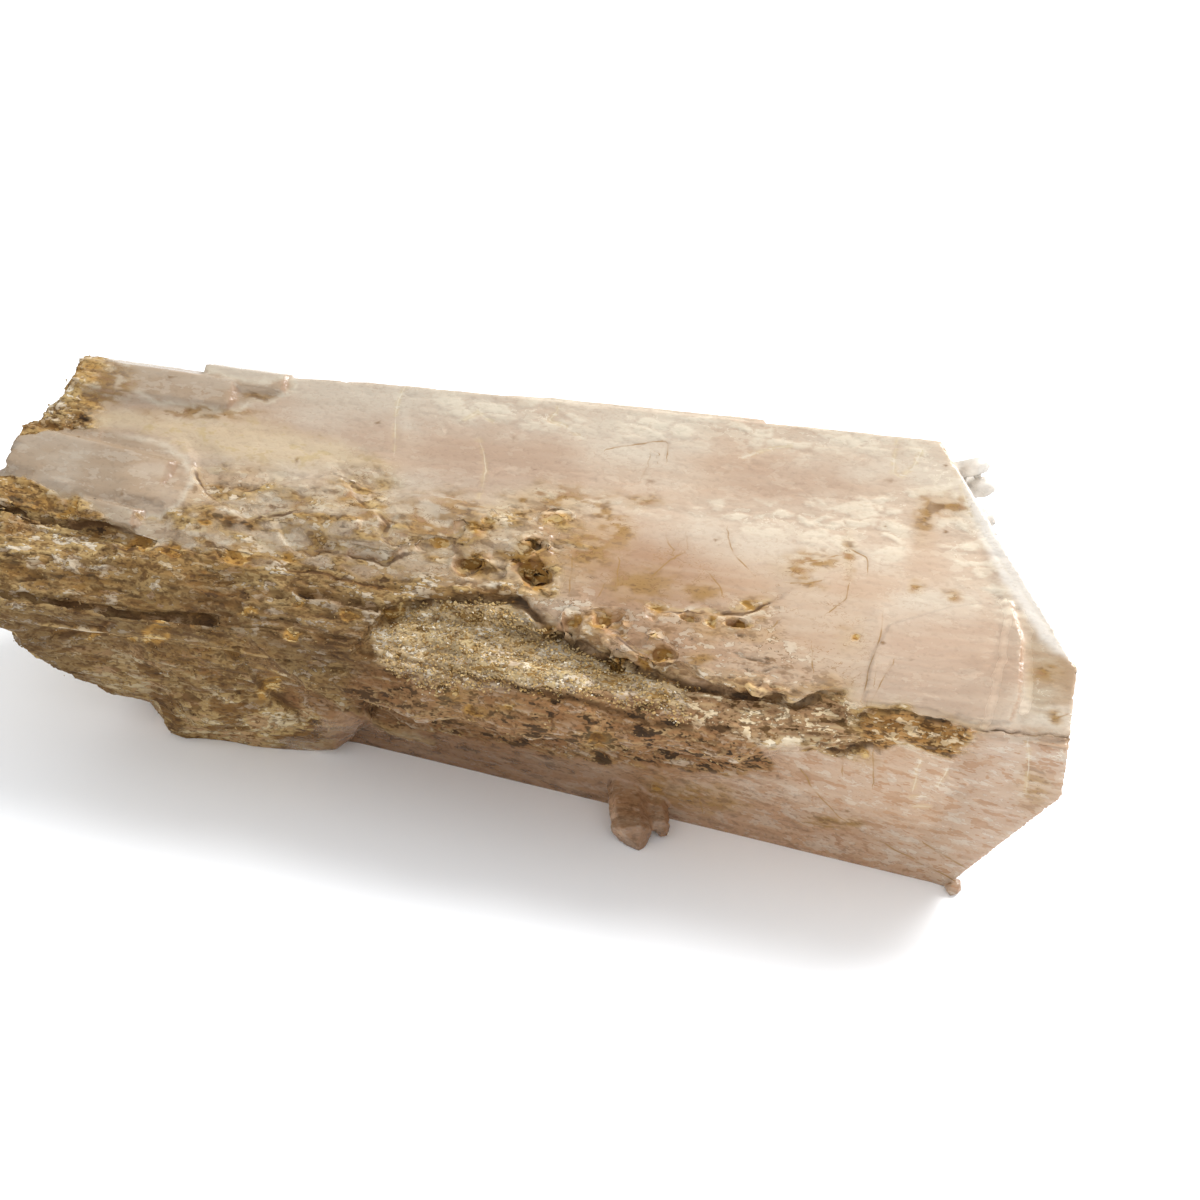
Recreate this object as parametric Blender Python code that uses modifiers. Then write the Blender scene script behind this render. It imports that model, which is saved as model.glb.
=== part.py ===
"""A large danburite crystal with a chisel tip, rough at its broken end.

Two long crystals have grown side by side, the upper one on the lower one, with
druse in the seam between them. Smaller crystals have grown onto the broken end,
which is covered in crust. All of it has grown together, so it is one solid.

The crystal lies along X with its tip at +X and rests on its flat base at Z = 0.
Lengths are in mm here and become metres when a mesh is kept.
"""
import math
import random

import bmesh
import bpy
from mathutils import Euler, Matrix, Vector, noise

MM = 0.001
NAME = "danburite_crystal"

# Cross-section of the two crystals near the tip, as (across, up).
SECTION_AT = 38.0
FRONT_EDGE = (-18.0, 24.0)
TOP_EDGE = (6.0, 40.0)
TOP_BACK_EDGE = (12.0, 35.2)
BACK_EDGE = (20.0, 21.0)
BASE_BACK = (13.0, 0.0)
BASE_FRONT = (-11.6, 0.0)

# The crystals narrow towards the broken end: over this run to the left, each
# long face moves by this much (across, up).
TAPER_RUN = 88.0
UPPER_FRONT_TAPER = (2.0, -3.0)
TOP_TAPER = (1.0, -3.0)
BACK_TAPER = (-4.5, -1.0)
LOWER_FRONT_TAPER = (10.8, 0.0)

# The seam: how far the two crystals reach into each other, and the lip of the
# upper one that hangs over it.
SEAM_TOP = 27.5
SEAM_BOTTOM = 15.0
SEAM_SETBACK = 0.7
LIP_DROP = 2.6
LIP_UNDERCUT = 9.0
LOWER_SHOULDER_TAPER = (3.0, -3.0)

# Corners of the chisel tip.
TIP_TOP = (31.8, 6.0, 40.1)
TIP_SHOULDER = (48.0, -12.3, 28.6)
TIP_NOSE = (48.2, -18.0, 24.5)
TIP_LOWER_NOSE = (48.0, -17.5, 23.5)
TIP_CHIN = (48.0, -16.2, 17.25)
TIP_HEEL = (38.2, -11.6, 0.25)
TIP_BACK_TOP = (35.6, 20.0, 21.0)
TIP_BACK_UPPER = (37.7, 20.0, 24.0)
TIP_BACK_LOWER = (37.6, 20.0, 15.0)
TIP_BACK_HEEL = (36.7, 13.0, 0.0)

# Corners of the broken end.
BREAK_TOP = (-56.0, 7.0, 36.6)
BREAK_FRONT = (-63.0, -3.0, 29.0)
BREAK_TOP_BACK = (-51.0, 18.0, 36.0)
BREAK_NOSE = (-64.0, -9.0, 24.0)
BREAK_CHIN = (-61.0, -12.0, 15.5)
BREAK_SOLE = (-54.0, -8.0, 3.0)
BREAK_BACK = (-60.0, 16.0, 18.0)
BREAK_SOLE_BACK = (-50.0, 12.0, 3.0)

# The box that the crystals are shaved out of, and a point deep inside them. The
# box reaches below the base, which is cut flat at the end.
BLOCK_LOW = (-66.0, -22.0, -3.0)
BLOCK_HIGH = (50.0, 24.0, 44.0)
HEART = (0.0, 0.0, 20.0)

# Places on the upper front face are (along, up the slope) from its front edge.
FACE_CORNER = (0.0, -17.1, 22.6)

# The broken edge of the upper crystal, where it hangs over the seam's druse, and
# the terrace below it, which leans down towards the break.
LEDGE = [(-18.0, 5.2), (-15.1, 6.4), (-11.0, 6.8), (-5.3, 7.8), (-1.2, 7.4), (2.2, 5.4),
         (5.5, 2.5), (8.7, 2.3), (11.5, 3.0), (15.5, 2.0), (19.5, 1.1), (23.2, 1.4), (27.2, 2.8)]
LEDGE_REACH = 5.0
TERRACE_DEPTH = 1.5
TERRACE_LEAN = math.radians(7.0)

# The layer of crust on the upper front face, and how far it stands proud.
CRUST_TOP = [(-2.5, 11.0), (-3.5, 15.5), (-12.0, 16.6), (-20.0, 17.2), (-27.0, 17.9), (-35.0, 15.6)]
CRUST_BOTTOM = [(-37.5, 11.5), (-33.5, 11.4), (-31.2, 11.9), (-29.5, 10.4), (-26.7, 9.6),
                (-23.1, 9.8), (-19.0, 9.7), (-14.4, 12.0), (-11.5, 10.7), (-7.0, 12.2)]
CRUST_THICK = 0.7
CRUST_DEPTH = 1.5

# The clear plate near the tip, bounded by growth steps.
PLATE = [(29.4, 6.7), (30.3, 9.5), (35.5, 12.0), (40.9, 13.4), (42.6, 9.7), (43.1, 4.0),
         (42.6, 1.6), (39.5, 1.3), (35.2, 2.2), (29.2, 2.0)]
PLATE_THICK = 0.3

# Pits in the upper front face: (along, up the slope, length, width, depth).
PITS = [(-5.4, 13.1, 2.2, 1.5, 1.2), (-10.6, 10.3, 2.8, 2.0, 1.4), (-4.3, 10.4, 3.8, 3.2, 2.0),
        (0.4, 5.5, 2.0, 2.0, 1.8), (3.6, 6.7, 3.2, 2.2, 1.2),
        (9.4, 3.9, 1.7, 1.5, 1.2), (11.5, 7.8, 2.4, 1.1, 1.0), (16.0, 7.9, 2.6, 1.0, 1.1),
        (-1.6, 4.7, 1.5, 1.0, 0.8)]

# Small crystals on the upper front face: root and tip as (along, up the slope), then width,
# thickness and how far they are sunk into it.
SMALL_CRYSTALS = {
    "top_left_crystal": ((-56.8, 25.7), (-37.2, 25.2), 5.2, 4.4, 1.5),
    "top_left_tip": ((-43.0, 27.2), (-32.7, 27.0), 3.2, 3.2, 1.1),
    "front_left_crystal": ((-61.0, 16.9), (-40.9, 14.4), 7.6, 6.0, 2.2),
    "front_left_tip": ((-52.0, 11.0), (-44.2, 10.2), 3.0, 3.4, 0.6),
}

# Chips of crystal under the front edge and on the tip: root, tip, width and thickness.
CHIPS = {
    "underside_chip": ((4.6, -7.4, 3.4), (7.0, -14.4, 0.9), 4.0, 2.8),
    "underside_chip_side": ((8.0, -8.2, 2.6), (9.3, -12.2, 1.2), 2.0, 1.8),
    "tip_chip_long": ((32.4, 7.4, 35.4), (36.6, 6.6, 37.6), 1.8, 1.6),
    "tip_chip_wide": ((33.2, 8.5, 33.4), (37.2, 6.0, 35.4), 2.4, 1.6),
    "tip_chip_low": ((34.6, 5.0, 33.2), (37.9, 2.6, 33.8), 1.8, 1.4),
}
CHIP_OUT = (0.0, -0.5, 1.0)

# Rough nubs: where they are and their sizes.
NUBS = {
    "heel_spur": ((38.6, -12.0, 0.5), (2.0, 2.2, 1.8)),
    "chin_nub": ((46.4, -15.4, 15.6), (1.4, 1.6, 1.6)),
}

# Grooves on the upper front face: their routes, half width and depth of centre.
SEAM_GROOVE = [(25.0, 1.3), (28.6, 0.4), (34.0, 0.2), (38.5, -0.3)]
SEAM_CRACK = [(38.0, -0.2), (43.0, 0.1), (50.0, 0.6)]
UPPER_CREVICE = [(-64.0, 10.6), (-56.7, 9.7), (-48.5, 8.8), (-43.0, 7.8)]
LOWER_CREVICE = [(-66.0, 1.3), (-57.9, 1.0), (-45.9, 0.5), (-35.0, 1.2)]

# The druse in the seam: its centre line at each station along the crystal, as
# (along, across, up), and its half sizes.
DRUSE_LINE = [(-38.0, -10.8, 17.0), (-20.0, -13.2, 17.8), (-5.0, -14.4, 18.2), (10.0, -15.0, 18.4),
              (22.0, -15.3, 19.6), (29.0, -15.3, 20.8)]
DRUSE_SIZE = (8.6, 8.6)
DRUSE_SPACING = 3.4

# The crust on the broken end, as triples of corners: the faces that bound it at
# the front and below, and those of the foot it stands on. Each has a point inside.
CRUST_SOLE = [((-62, -14.2, 21.5), (-30, -15.0, 22.5), (-50, -10.8, 9.5)),
              ((-62, -11.2, 9.5), (-36, -10.0, 9.5), (-48, -6.5, 2.6))]
CRUST_FRONT = [((-64, -9.5, 24.5), (-30, -12.5, 25.0), (-45, 0.0, 33.5)),
               ((-66, 0, 2.6), (-40, 0, 2.6), (-50, 10, 2.8)),
               ((-23, -10, 12), (-34, -20, 12), (-23, -10, 22))]
CRUST_INSIDE = (-45, -6, 15)
FOOT_FACES = [((-45.5, -6, 0), (-41.5, -12, 8), (-45.5, 4, 0)),
              ((-44, -8.0, 0), (-28, -6.0, 0), (-36, -11.5, 9)),
              ((-27.0, -5.5, 0), (-23, -9, 9), (-27, 6, 0))]
FOOT_INSIDE = (-36, -2, 4)

# Growth steps on the top and the back: the long stretches that stand a little
# proud, as (start, end) along the crystal, the lowest and highest level, and how far.
TOP_STEP = ((-30.0, 18.0), (30.0, 44.0), 0.35)
BACK_STEP = ((-44.0, 8.0), (17.0, 33.0), 0.5)

# How rough the broken end and the crust are, and the size of their facets.
CRUST_CELL = 2.1
CRUST_BUMP = 0.9
CRUST_PROUD = 0.5
LAYER_CELL = 1.1
LAYER_BUMP = 0.4
DRUSE_CELL = 1.5
DRUSE_BUMP = 0.7
BURIED = 2.0
STEP = 0.3

CRYSTAL_COLOUR = (0.70, 0.58, 0.50, 1.0)
CRYSTAL_ROUGHNESS = 0.35


def flat_face(a, b, c, inside=HEART):
    """The plane through three corners, as a point and the normal that points away from inside."""
    a, b, c = Vector(a), Vector(b), Vector(c)
    normal = (b - a).cross(c - a).normalized()
    if normal.dot(Vector(inside) - a) > 0:
        normal = -normal
    return a, normal


def long_face(edge, next_edge, taper):
    """A face along the crystal, through two corners of the section and leaning with the taper."""
    a = Vector((SECTION_AT, *edge))
    b = Vector((SECTION_AT, *next_edge))
    c = a + Vector((-TAPER_RUN, *taper))
    return flat_face(a, b, c)


def upper_face_frame():
    """The upper front face as a frame: along the crystal, up the slope, out of the face."""
    point, out = long_face(FRONT_EDGE, TOP_EDGE, UPPER_FRONT_TAPER)
    along = Vector((TAPER_RUN, -UPPER_FRONT_TAPER[0], -UPPER_FRONT_TAPER[1])).normalized()
    up = out.cross(along)
    corner = Vector(FACE_CORNER)
    corner -= out * (corner - point).dot(out)
    frame = Matrix((along, up, out)).transposed().to_4x4()
    frame.translation = corner
    return frame


UPPER_FACE = upper_face_frame()


def crystal_material():
    """Cloudy pink-beige crystal."""
    material = bpy.data.materials.new("danburite")
    material.use_nodes = True
    material.diffuse_color = CRYSTAL_COLOUR
    shader = material.node_tree.nodes["Principled BSDF"]
    shader.inputs["Base Color"].default_value = CRYSTAL_COLOUR
    shader.inputs["Roughness"].default_value = CRYSTAL_ROUGHNESS
    shader.inputs["Metallic"].default_value = 0.0
    return material


class Workshop:
    """The collections that hold the crystal and the shapes that build it up or cut it."""

    def __init__(self):
        for old in list(bpy.data.objects):
            bpy.data.objects.remove(old)
        self.part = bpy.data.collections.new("danburite")
        self.shapes = bpy.data.collections.new("cutters")
        bpy.context.scene.collection.children.link(self.part)
        bpy.context.scene.collection.children.link(self.shapes)
        self.body = None

    def start(self, bm):
        """The first crystal becomes the body that all others join."""
        self.body = self.object_from(NAME, bm, self.part)
        self.body.data.materials.append(crystal_material())

    def object_from(self, name, bm, collection):
        bmesh.ops.recalc_face_normals(bm, faces=bm.faces)
        bmesh.ops.scale(bm, vec=(MM, MM, MM), verts=bm.verts)
        mesh = bpy.data.meshes.new(name)
        bm.to_mesh(mesh)
        bm.free()
        piece = bpy.data.objects.new(name, mesh)
        collection.objects.link(piece)
        return piece

    def combine(self, name, bm, operation):
        piece = self.object_from(name, bm, self.shapes)
        piece.hide_render = True
        piece.display_type = "WIRE"
        step = self.body.modifiers.new(name, "BOOLEAN")
        step.operation = operation
        step.object = piece

    def grow(self, name, bm):
        """Join a shape to the crystal."""
        self.combine(name, bm, "UNION")

    def cut(self, name, bm):
        """Cut a shape out of the crystal."""
        self.combine(name, bm, "DIFFERENCE")


def shave(bm, point, outward):
    """Cut away what lies beyond a plane and close the cut with one flat face."""
    geometry = bm.verts[:] + bm.edges[:] + bm.faces[:]
    bmesh.ops.bisect_plane(
        bm, geom=geometry, dist=1e-5, plane_co=point, plane_no=outward, clear_outer=True)
    rim = [edge for edge in bm.edges if edge.is_boundary]
    if rim:
        bmesh.ops.contextual_create(bm, geom=rim)


def shaved_block(faces, low=BLOCK_LOW, high=BLOCK_HIGH):
    """A box shaved down to a crystal by its flat faces."""
    bm = bmesh.new()
    bmesh.ops.create_cube(bm, size=1.0)
    for vert in bm.verts:
        vert.co = [low[i] if vert.co[i] < 0 else high[i] for i in range(3)]
    for point, outward in faces:
        shave(bm, point, outward)
    return bm


def crusted(blocks, cell, bump, seed, stretch=0.5):
    """Blocks run together into one even mesh, with a bumpy surface drawn out along the crystal."""
    together = bmesh.new()
    for block in blocks:
        mesh = bpy.data.meshes.new("block")
        bmesh.ops.recalc_face_normals(block, faces=block.faces)
        block.to_mesh(mesh)
        block.free()
        together.from_mesh(mesh)
        bpy.data.meshes.remove(mesh)
    mesh = bpy.data.meshes.new("blocks")
    together.to_mesh(mesh)
    together.free()
    holder = bpy.data.objects.new("blocks", mesh)
    bpy.context.scene.collection.objects.link(holder)
    even = holder.modifiers.new("even", "REMESH")
    even.mode = "VOXEL"
    even.voxel_size = cell
    bm = bmesh.new()
    bm.from_object(holder, bpy.context.evaluated_depsgraph_get())
    bpy.data.objects.remove(holder)
    bpy.data.meshes.remove(mesh)
    bm.normal_update()
    shift = Vector((seed * 7.31, seed * 3.17, seed * 5.73))
    moves = []
    for vert in bm.verts:
        place = Vector((vert.co.x * stretch, vert.co.y, vert.co.z))
        broad = noise.noise(place * 0.15 + shift)
        fine = noise.noise(place * 0.43 + shift)
        moves.append(vert.normal * bump * (1.3 * broad + 1.0 * fine))
    for vert, move in zip(bm.verts, moves):
        vert.co += move
    bmesh.ops.triangulate(bm, faces=bm.faces)
    return bm


def pushed(faces, distance):
    """The same faces, moved outwards."""
    return [(point + outward * distance, outward) for point, outward in faces]


def tip_faces(middle):
    return [
        flat_face(TIP_TOP, TIP_SHOULDER, TIP_BACK_TOP),
        flat_face(*middle),
        flat_face(TIP_CHIN, TIP_HEEL, TIP_BACK_HEEL),
    ]


def break_faces():
    return [
        flat_face(BREAK_TOP, BREAK_FRONT, BREAK_TOP_BACK),
        flat_face(BREAK_FRONT, BREAK_NOSE, BREAK_BACK),
        flat_face(BREAK_NOSE, BREAK_CHIN, BREAK_BACK),
        flat_face(BREAK_CHIN, BREAK_SOLE, BREAK_SOLE_BACK),
    ]


def upper_crystal():
    """The upper crystal, with a lip that hangs over the seam."""
    lip = (FRONT_EDGE[0] + SEAM_SETBACK, FRONT_EDGE[1] - LIP_DROP)
    inner = (FRONT_EDGE[0] + LIP_UNDERCUT, SEAM_BOTTOM)
    faces = [
        long_face(FRONT_EDGE, TOP_EDGE, UPPER_FRONT_TAPER),
        long_face(TOP_EDGE, TOP_BACK_EDGE, TOP_TAPER),
        long_face(TOP_BACK_EDGE, BACK_EDGE, BACK_TAPER),
        long_face(FRONT_EDGE, lip, UPPER_FRONT_TAPER),
        long_face(lip, inner, UPPER_FRONT_TAPER),
    ]
    faces += tip_faces((TIP_SHOULDER, TIP_NOSE, TIP_BACK_UPPER))
    faces += pushed(break_faces(), -BURIED)
    return shaved_block(faces, low=(BLOCK_LOW[0], BLOCK_LOW[1], SEAM_BOTTOM))


def lower_crystal():
    """The lower crystal, whose underside is the flat base of the whole piece."""
    front = (FRONT_EDGE[0] + SEAM_SETBACK, FRONT_EDGE[1])
    faces = [
        long_face(front, BASE_FRONT, LOWER_FRONT_TAPER),
        long_face(BACK_EDGE, BASE_BACK, BACK_TAPER),
        long_face(TOP_BACK_EDGE, BACK_EDGE, BACK_TAPER),
        long_face(FRONT_EDGE, TOP_EDGE, LOWER_SHOULDER_TAPER),
    ]
    faces[1:3] = pushed(faces[1:3], STEP)
    faces += pushed(tip_faces((TIP_LOWER_NOSE, TIP_CHIN, TIP_BACK_LOWER)), -STEP / 2)
    faces += pushed(break_faces(), -BURIED - STEP)
    return shaved_block(faces, high=(BLOCK_HIGH[0], BLOCK_HIGH[1], SEAM_TOP))


def mesh_of_curve(curve):
    """The closed mesh of a filled curve."""
    holder = bpy.data.objects.new("outline", curve)
    bpy.context.scene.collection.objects.link(holder)
    graph = bpy.context.evaluated_depsgraph_get()
    mesh = bpy.data.meshes.new_from_object(holder.evaluated_get(graph))
    bm = bmesh.new()
    bm.from_mesh(mesh)
    bmesh.ops.remove_doubles(bm, verts=bm.verts, dist=1e-4)
    bpy.data.objects.remove(holder)
    bpy.data.meshes.remove(mesh)
    return bm


def poly_spline(curve, points, closed):
    spline = curve.splines.new("POLY")
    spline.points.add(len(points) - 1)
    for i, (x, y) in enumerate(points):
        spline.points[i].co = (x, y, 0.0, 1.0)
    spline.use_cyclic_u = closed


def face_slab(outline, low, high, lean=0.0):
    """A slab with this outline on the upper front face, from a low to a high level."""
    curve = bpy.data.curves.new("outline", "CURVE")
    curve.dimensions = "2D"
    curve.fill_mode = "BOTH"
    curve.extrude = (high - low) / 2
    poly_spline(curve, outline, closed=True)
    bm = mesh_of_curve(curve)
    bmesh.ops.translate(bm, vec=(0, 0, (high + low) / 2), verts=bm.verts)
    bmesh.ops.rotate(bm, cent=(0, 0, low), matrix=Matrix.Rotation(lean, 3, "X"), verts=bm.verts)
    return bm


def on_upper_face(bm):
    bmesh.ops.transform(bm, matrix=UPPER_FACE, verts=bm.verts)
    return bm


def face_groove(route, half_width, sink):
    """A groove along the upper front face, cut by a bar whose centre is sunk this deep."""
    curve = bpy.data.curves.new("route", "CURVE")
    curve.dimensions = "3D"
    curve.bevel_depth = half_width
    curve.bevel_resolution = 0
    curve.use_fill_caps = True
    poly_spline(curve, route, closed=False)
    bm = mesh_of_curve(curve)
    bmesh.ops.translate(bm, vec=(0, 0, -sink), verts=bm.verts)
    return on_upper_face(bm)


def pebble(place, size, seed, detail=1, bump=0.12):
    """A rough lump of this length, width and height."""
    draw = random.Random(seed)
    bm = bmesh.new()
    bmesh.ops.create_icosphere(bm, subdivisions=detail, radius=0.5)
    turn = Euler([draw.uniform(0, math.tau) for _ in range(3)]).to_matrix()
    bmesh.ops.rotate(bm, cent=(0, 0, 0), matrix=turn, verts=bm.verts)
    for vert in bm.verts:
        vert.co *= 1.0 + draw.uniform(-bump, bump)
    bmesh.ops.scale(bm, vec=size, verts=bm.verts)
    bmesh.ops.translate(bm, vec=place, verts=bm.verts)
    return bm


def small_crystal(root, tip, width, thick, out, chisel=0.6, sunk=0.0):
    """A small crystal from its root to its tip, with eight long faces and a chisel end."""
    root, tip, out = Vector(root), Vector(tip), Vector(out).normalized()
    along = (tip - root).normalized()
    side = out.cross(along).normalized()
    out = along.cross(side)
    length = (tip - root).length
    bm = bmesh.new()
    bmesh.ops.create_cube(bm, size=1.0)
    bmesh.ops.translate(bm, vec=(0.5, 0, 0), verts=bm.verts)
    bmesh.ops.scale(bm, vec=(length, width, thick), verts=bm.verts)
    for turn_side in (-1, 1):
        for turn_out in (-1, 1):
            corner = Vector((0, turn_side * width * 0.5, turn_out * thick * 0.16))
            shave(bm, corner, Vector((0.03, turn_side * thick * 0.9, turn_out * width * 0.55)).normalized())
    for slope_side, slope_out, back in ((1, 0.25, 0.0), (-1, 0.15, width * 0.16), (0.1, 1.2, 0.12)):
        end = Vector((length - back, 0, 0))
        shave(bm, end, Vector((chisel, slope_side * 0.5, slope_out * 0.5)).normalized())
    frame = Matrix((along, side, out)).transposed().to_4x4()
    frame.translation = root - out * sunk
    bmesh.ops.transform(bm, matrix=frame, verts=bm.verts)
    return bm


def at_face(along, up, out=0.0):
    """A place on the upper front face, this far out of it."""
    return UPPER_FACE @ Vector((along, up, out))


def line_at(line, along):
    """Where a line of stations is at this place along the crystal."""
    for (x0, *a), (x1, *b) in zip(line, line[1:]):
        if along <= x1 or x1 == line[-1][0]:
            part = min(max((along - x0) / (x1 - x0), 0.0), 1.0)
            return [p + (q - p) * part for p, q in zip(a, b)]


def seam_druse():
    """The rough ridge of druse that fills the seam, thick in the middle and thin at its ends."""
    lumps = []
    start, end = DRUSE_LINE[0][0], DRUSE_LINE[-1][0]
    count = int((end - start) / DRUSE_SPACING) + 1
    for i in range(count):
        part = i / (count - 1)
        along = start + (end - start) * part
        fullness = math.sin(math.pi * (0.1 + 0.8 * part)) ** 0.6
        size = (DRUSE_SPACING * 2.6, DRUSE_SIZE[0] * fullness, DRUSE_SIZE[1] * fullness)
        lumps.append(pebble((along, *line_at(DRUSE_LINE, along)), size, seed=20 + i, detail=2))
    return crusted(lumps, DRUSE_CELL, DRUSE_BUMP, seed=3, stretch=0.6)


def crust_mass():
    """The lumpy mass that covers the broken end, the front beside it and the foot under it."""
    sole = [flat_face(*corners, CRUST_INSIDE) for corners in CRUST_SOLE]
    front = [flat_face(*corners, CRUST_INSIDE) for corners in CRUST_FRONT]
    foot = [flat_face(*corners, FOOT_INSIDE) for corners in FOOT_FACES]
    around = pushed([
        long_face(FRONT_EDGE, TOP_EDGE, UPPER_FRONT_TAPER),
        long_face(TOP_EDGE, TOP_BACK_EDGE, TOP_TAPER),
        long_face(TOP_BACK_EDGE, BACK_EDGE, BACK_TAPER),
        long_face(BACK_EDGE, BASE_BACK, BACK_TAPER),
    ], CRUST_PROUD)
    blocks = [
        shaved_block(front + sole + break_faces(), low=(-66, -20, 1), high=(-22, 6, 30)),
        shaved_block(around + sole + break_faces(), low=(-66, -18, 3.2), high=(-52, 24, 40)),
        shaved_block(foot, low=(-50, -14, -2.5), high=(-20, 6, 9)),
    ]
    return crusted(blocks, CRUST_CELL, CRUST_BUMP, seed=5, stretch=0.45)


def growth_step(face, neighbours, step):
    """A low plate on one long face, with slanting ends, set back from the faces beside it."""
    (start, end), (low, high), proud = step
    point, outward = long_face(*face)
    skin = [(point + outward * proud, outward), (point - outward, -outward)]
    skin += pushed([long_face(*beside) for beside in neighbours], -STEP)
    for at, way in ((start, -1), (end, 1)):
        skin.append((Vector((at, 0, (low + high) / 2)), Vector((way, 0.4, 0.25 * way)).normalized()))
    return shaved_block(skin, low=(BLOCK_LOW[0], BLOCK_LOW[1], low), high=(BLOCK_HIGH[0], BLOCK_HIGH[1], high))


def crust_layer():
    """The thin crust on the upper front face, with a scalloped lower edge."""
    slab = face_slab(CRUST_BOTTOM + CRUST_TOP, -CRUST_DEPTH, CRUST_THICK)
    return crusted([on_upper_face(slab)], LAYER_CELL, LAYER_BUMP, seed=14, stretch=0.6)


def terrace():
    """What has broken away below the ledge, down to the druse."""
    left, right = LEDGE[0], LEDGE[-1]
    outline = LEDGE + [(right[0] + 1.5, -LEDGE_REACH), (left[0] - 5.0, -LEDGE_REACH)]
    bm = face_slab(outline, -TERRACE_DEPTH, LEDGE_REACH, lean=-TERRACE_LEAN)
    return on_upper_face(bm)


def underside():
    """All that lies below the flat base."""
    bm = bmesh.new()
    bmesh.ops.create_cube(bm, size=1.0)
    bmesh.ops.scale(bm, vec=(140.0, 60.0, 10.0), verts=bm.verts)
    bmesh.ops.translate(bm, vec=(-5.0, 0.0, -5.0), verts=bm.verts)
    return bm


def centre_on_base(shop):
    """Hang everything on one frame, moved so that the origin is under the middle of the crystal."""
    graph = bpy.context.evaluated_depsgraph_get()
    corners = [Vector(corner) for corner in shop.body.evaluated_get(graph).bound_box]
    low = Vector([min(corner[i] for corner in corners) for i in range(3)])
    high = Vector([max(corner[i] for corner in corners) for i in range(3)])
    frame = bpy.data.objects.new("crystal_frame", None)
    bpy.context.scene.collection.objects.link(frame)
    for piece in (*shop.part.objects, *shop.shapes.objects):
        piece.parent = frame
    frame.location = -Vector(((low.x + high.x) / 2, (low.y + high.y) / 2, low.z))


def main():
    shop = Workshop()
    out = UPPER_FACE.to_3x3() @ Vector((0, 0, 1))
    shop.start(upper_crystal())
    shop.cut("terrace", terrace())
    shop.grow("lower_crystal", lower_crystal())
    shop.grow("crust_mass", crust_mass())
    shop.grow("crust_layer", crust_layer())
    shop.grow("seam_druse", seam_druse())
    front = (FRONT_EDGE, TOP_EDGE, UPPER_FRONT_TAPER)
    top = (TOP_EDGE, TOP_BACK_EDGE, TOP_TAPER)
    back = (TOP_BACK_EDGE, BACK_EDGE, BACK_TAPER)
    shop.grow("top_step", growth_step(top, [front, back], TOP_STEP))
    shop.grow("back_step", growth_step(back, [top], BACK_STEP))
    shop.grow("clear_plate", on_upper_face(face_slab(PLATE, -1.0, PLATE_THICK)))
    for name, (root, tip, width, thick, sunk) in SMALL_CRYSTALS.items():
        shop.grow(name, small_crystal(at_face(*root), at_face(*tip), width, thick, out, sunk=sunk))
    for name, (root, tip, width, thick) in CHIPS.items():
        shop.grow(name, small_crystal(root, tip, width, thick, CHIP_OUT))
    for name, (place, size) in NUBS.items():
        shop.grow(name, pebble(place, size, seed=len(name)))
    for i, (along, up, length, width, depth) in enumerate(PITS):
        bm = pebble((0, 0, 0), (length, width, depth * 2), seed=40 + i)
        bmesh.ops.translate(bm, vec=(along, up, 0), verts=bm.verts)
        shop.cut(f"pit_{i}", on_upper_face(bm))
    shop.cut("seam_groove", face_groove(SEAM_GROOVE, 1.1, 0.2))
    shop.cut("seam_crack", face_groove(SEAM_CRACK, 0.35, 0.0))
    shop.cut("upper_crevice", face_groove(UPPER_CREVICE, 0.6, -0.2))
    shop.cut("lower_crevice", face_groove(LOWER_CREVICE, 0.7, -0.1))
    shop.cut("underside", underside())
    centre_on_base(shop)


main()
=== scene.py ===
"""A large pale pink danburite crystal, lying on its side on a pale table.

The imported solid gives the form. Here its surface is worked over: long striations and
etched figures on the clear faces, ledges and pits along the broken edge, druse in the
seam and crust over the rough end. Lengths are in mm until a mesh is finished.
"""

import math
from itertools import product

import bpy
import numpy as np
from mathutils import Matrix, Vector


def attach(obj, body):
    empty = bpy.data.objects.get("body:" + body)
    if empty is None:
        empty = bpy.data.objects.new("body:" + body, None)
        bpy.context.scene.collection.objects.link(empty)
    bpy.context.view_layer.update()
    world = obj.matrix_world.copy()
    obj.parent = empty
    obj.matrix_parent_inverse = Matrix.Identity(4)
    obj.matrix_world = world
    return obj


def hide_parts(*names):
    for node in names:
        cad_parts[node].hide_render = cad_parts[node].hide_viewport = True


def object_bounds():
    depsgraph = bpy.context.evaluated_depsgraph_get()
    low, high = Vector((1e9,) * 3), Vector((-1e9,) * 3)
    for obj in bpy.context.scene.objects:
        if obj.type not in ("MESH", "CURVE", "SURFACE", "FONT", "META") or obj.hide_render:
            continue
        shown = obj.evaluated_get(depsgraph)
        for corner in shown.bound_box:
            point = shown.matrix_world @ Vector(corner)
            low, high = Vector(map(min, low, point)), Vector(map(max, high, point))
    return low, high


MM = 0.001

# The drawing of the solid has its zero here, in the frame of the finished piece.
DRAWING_ZERO = np.array((7.8428, -1.9454, 0.0))

# The camera is turned to the right of the front and looks down.
CAMERA_TURN = math.radians(14.0)
CAMERA_TILT = math.radians(35.0)
CAMERA_AWAY = 270.0
CAMERA_AIM = np.array((0.0, 0.0, 20.0))
LENS = 81.0
PICTURE = 1200
MM_PER_PIXEL = 0.1

# The size of the remesh, and how much shorter the crystal is made meanwhile, so that its
# faces come out longer along it.
CELL = 0.215
SQUEEZE = 0.6
PIT_SMOOTHING = 14
# The relief goes no deeper and no higher than this.
DEEPEST = -3.0
HIGHEST = 0.45
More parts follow.
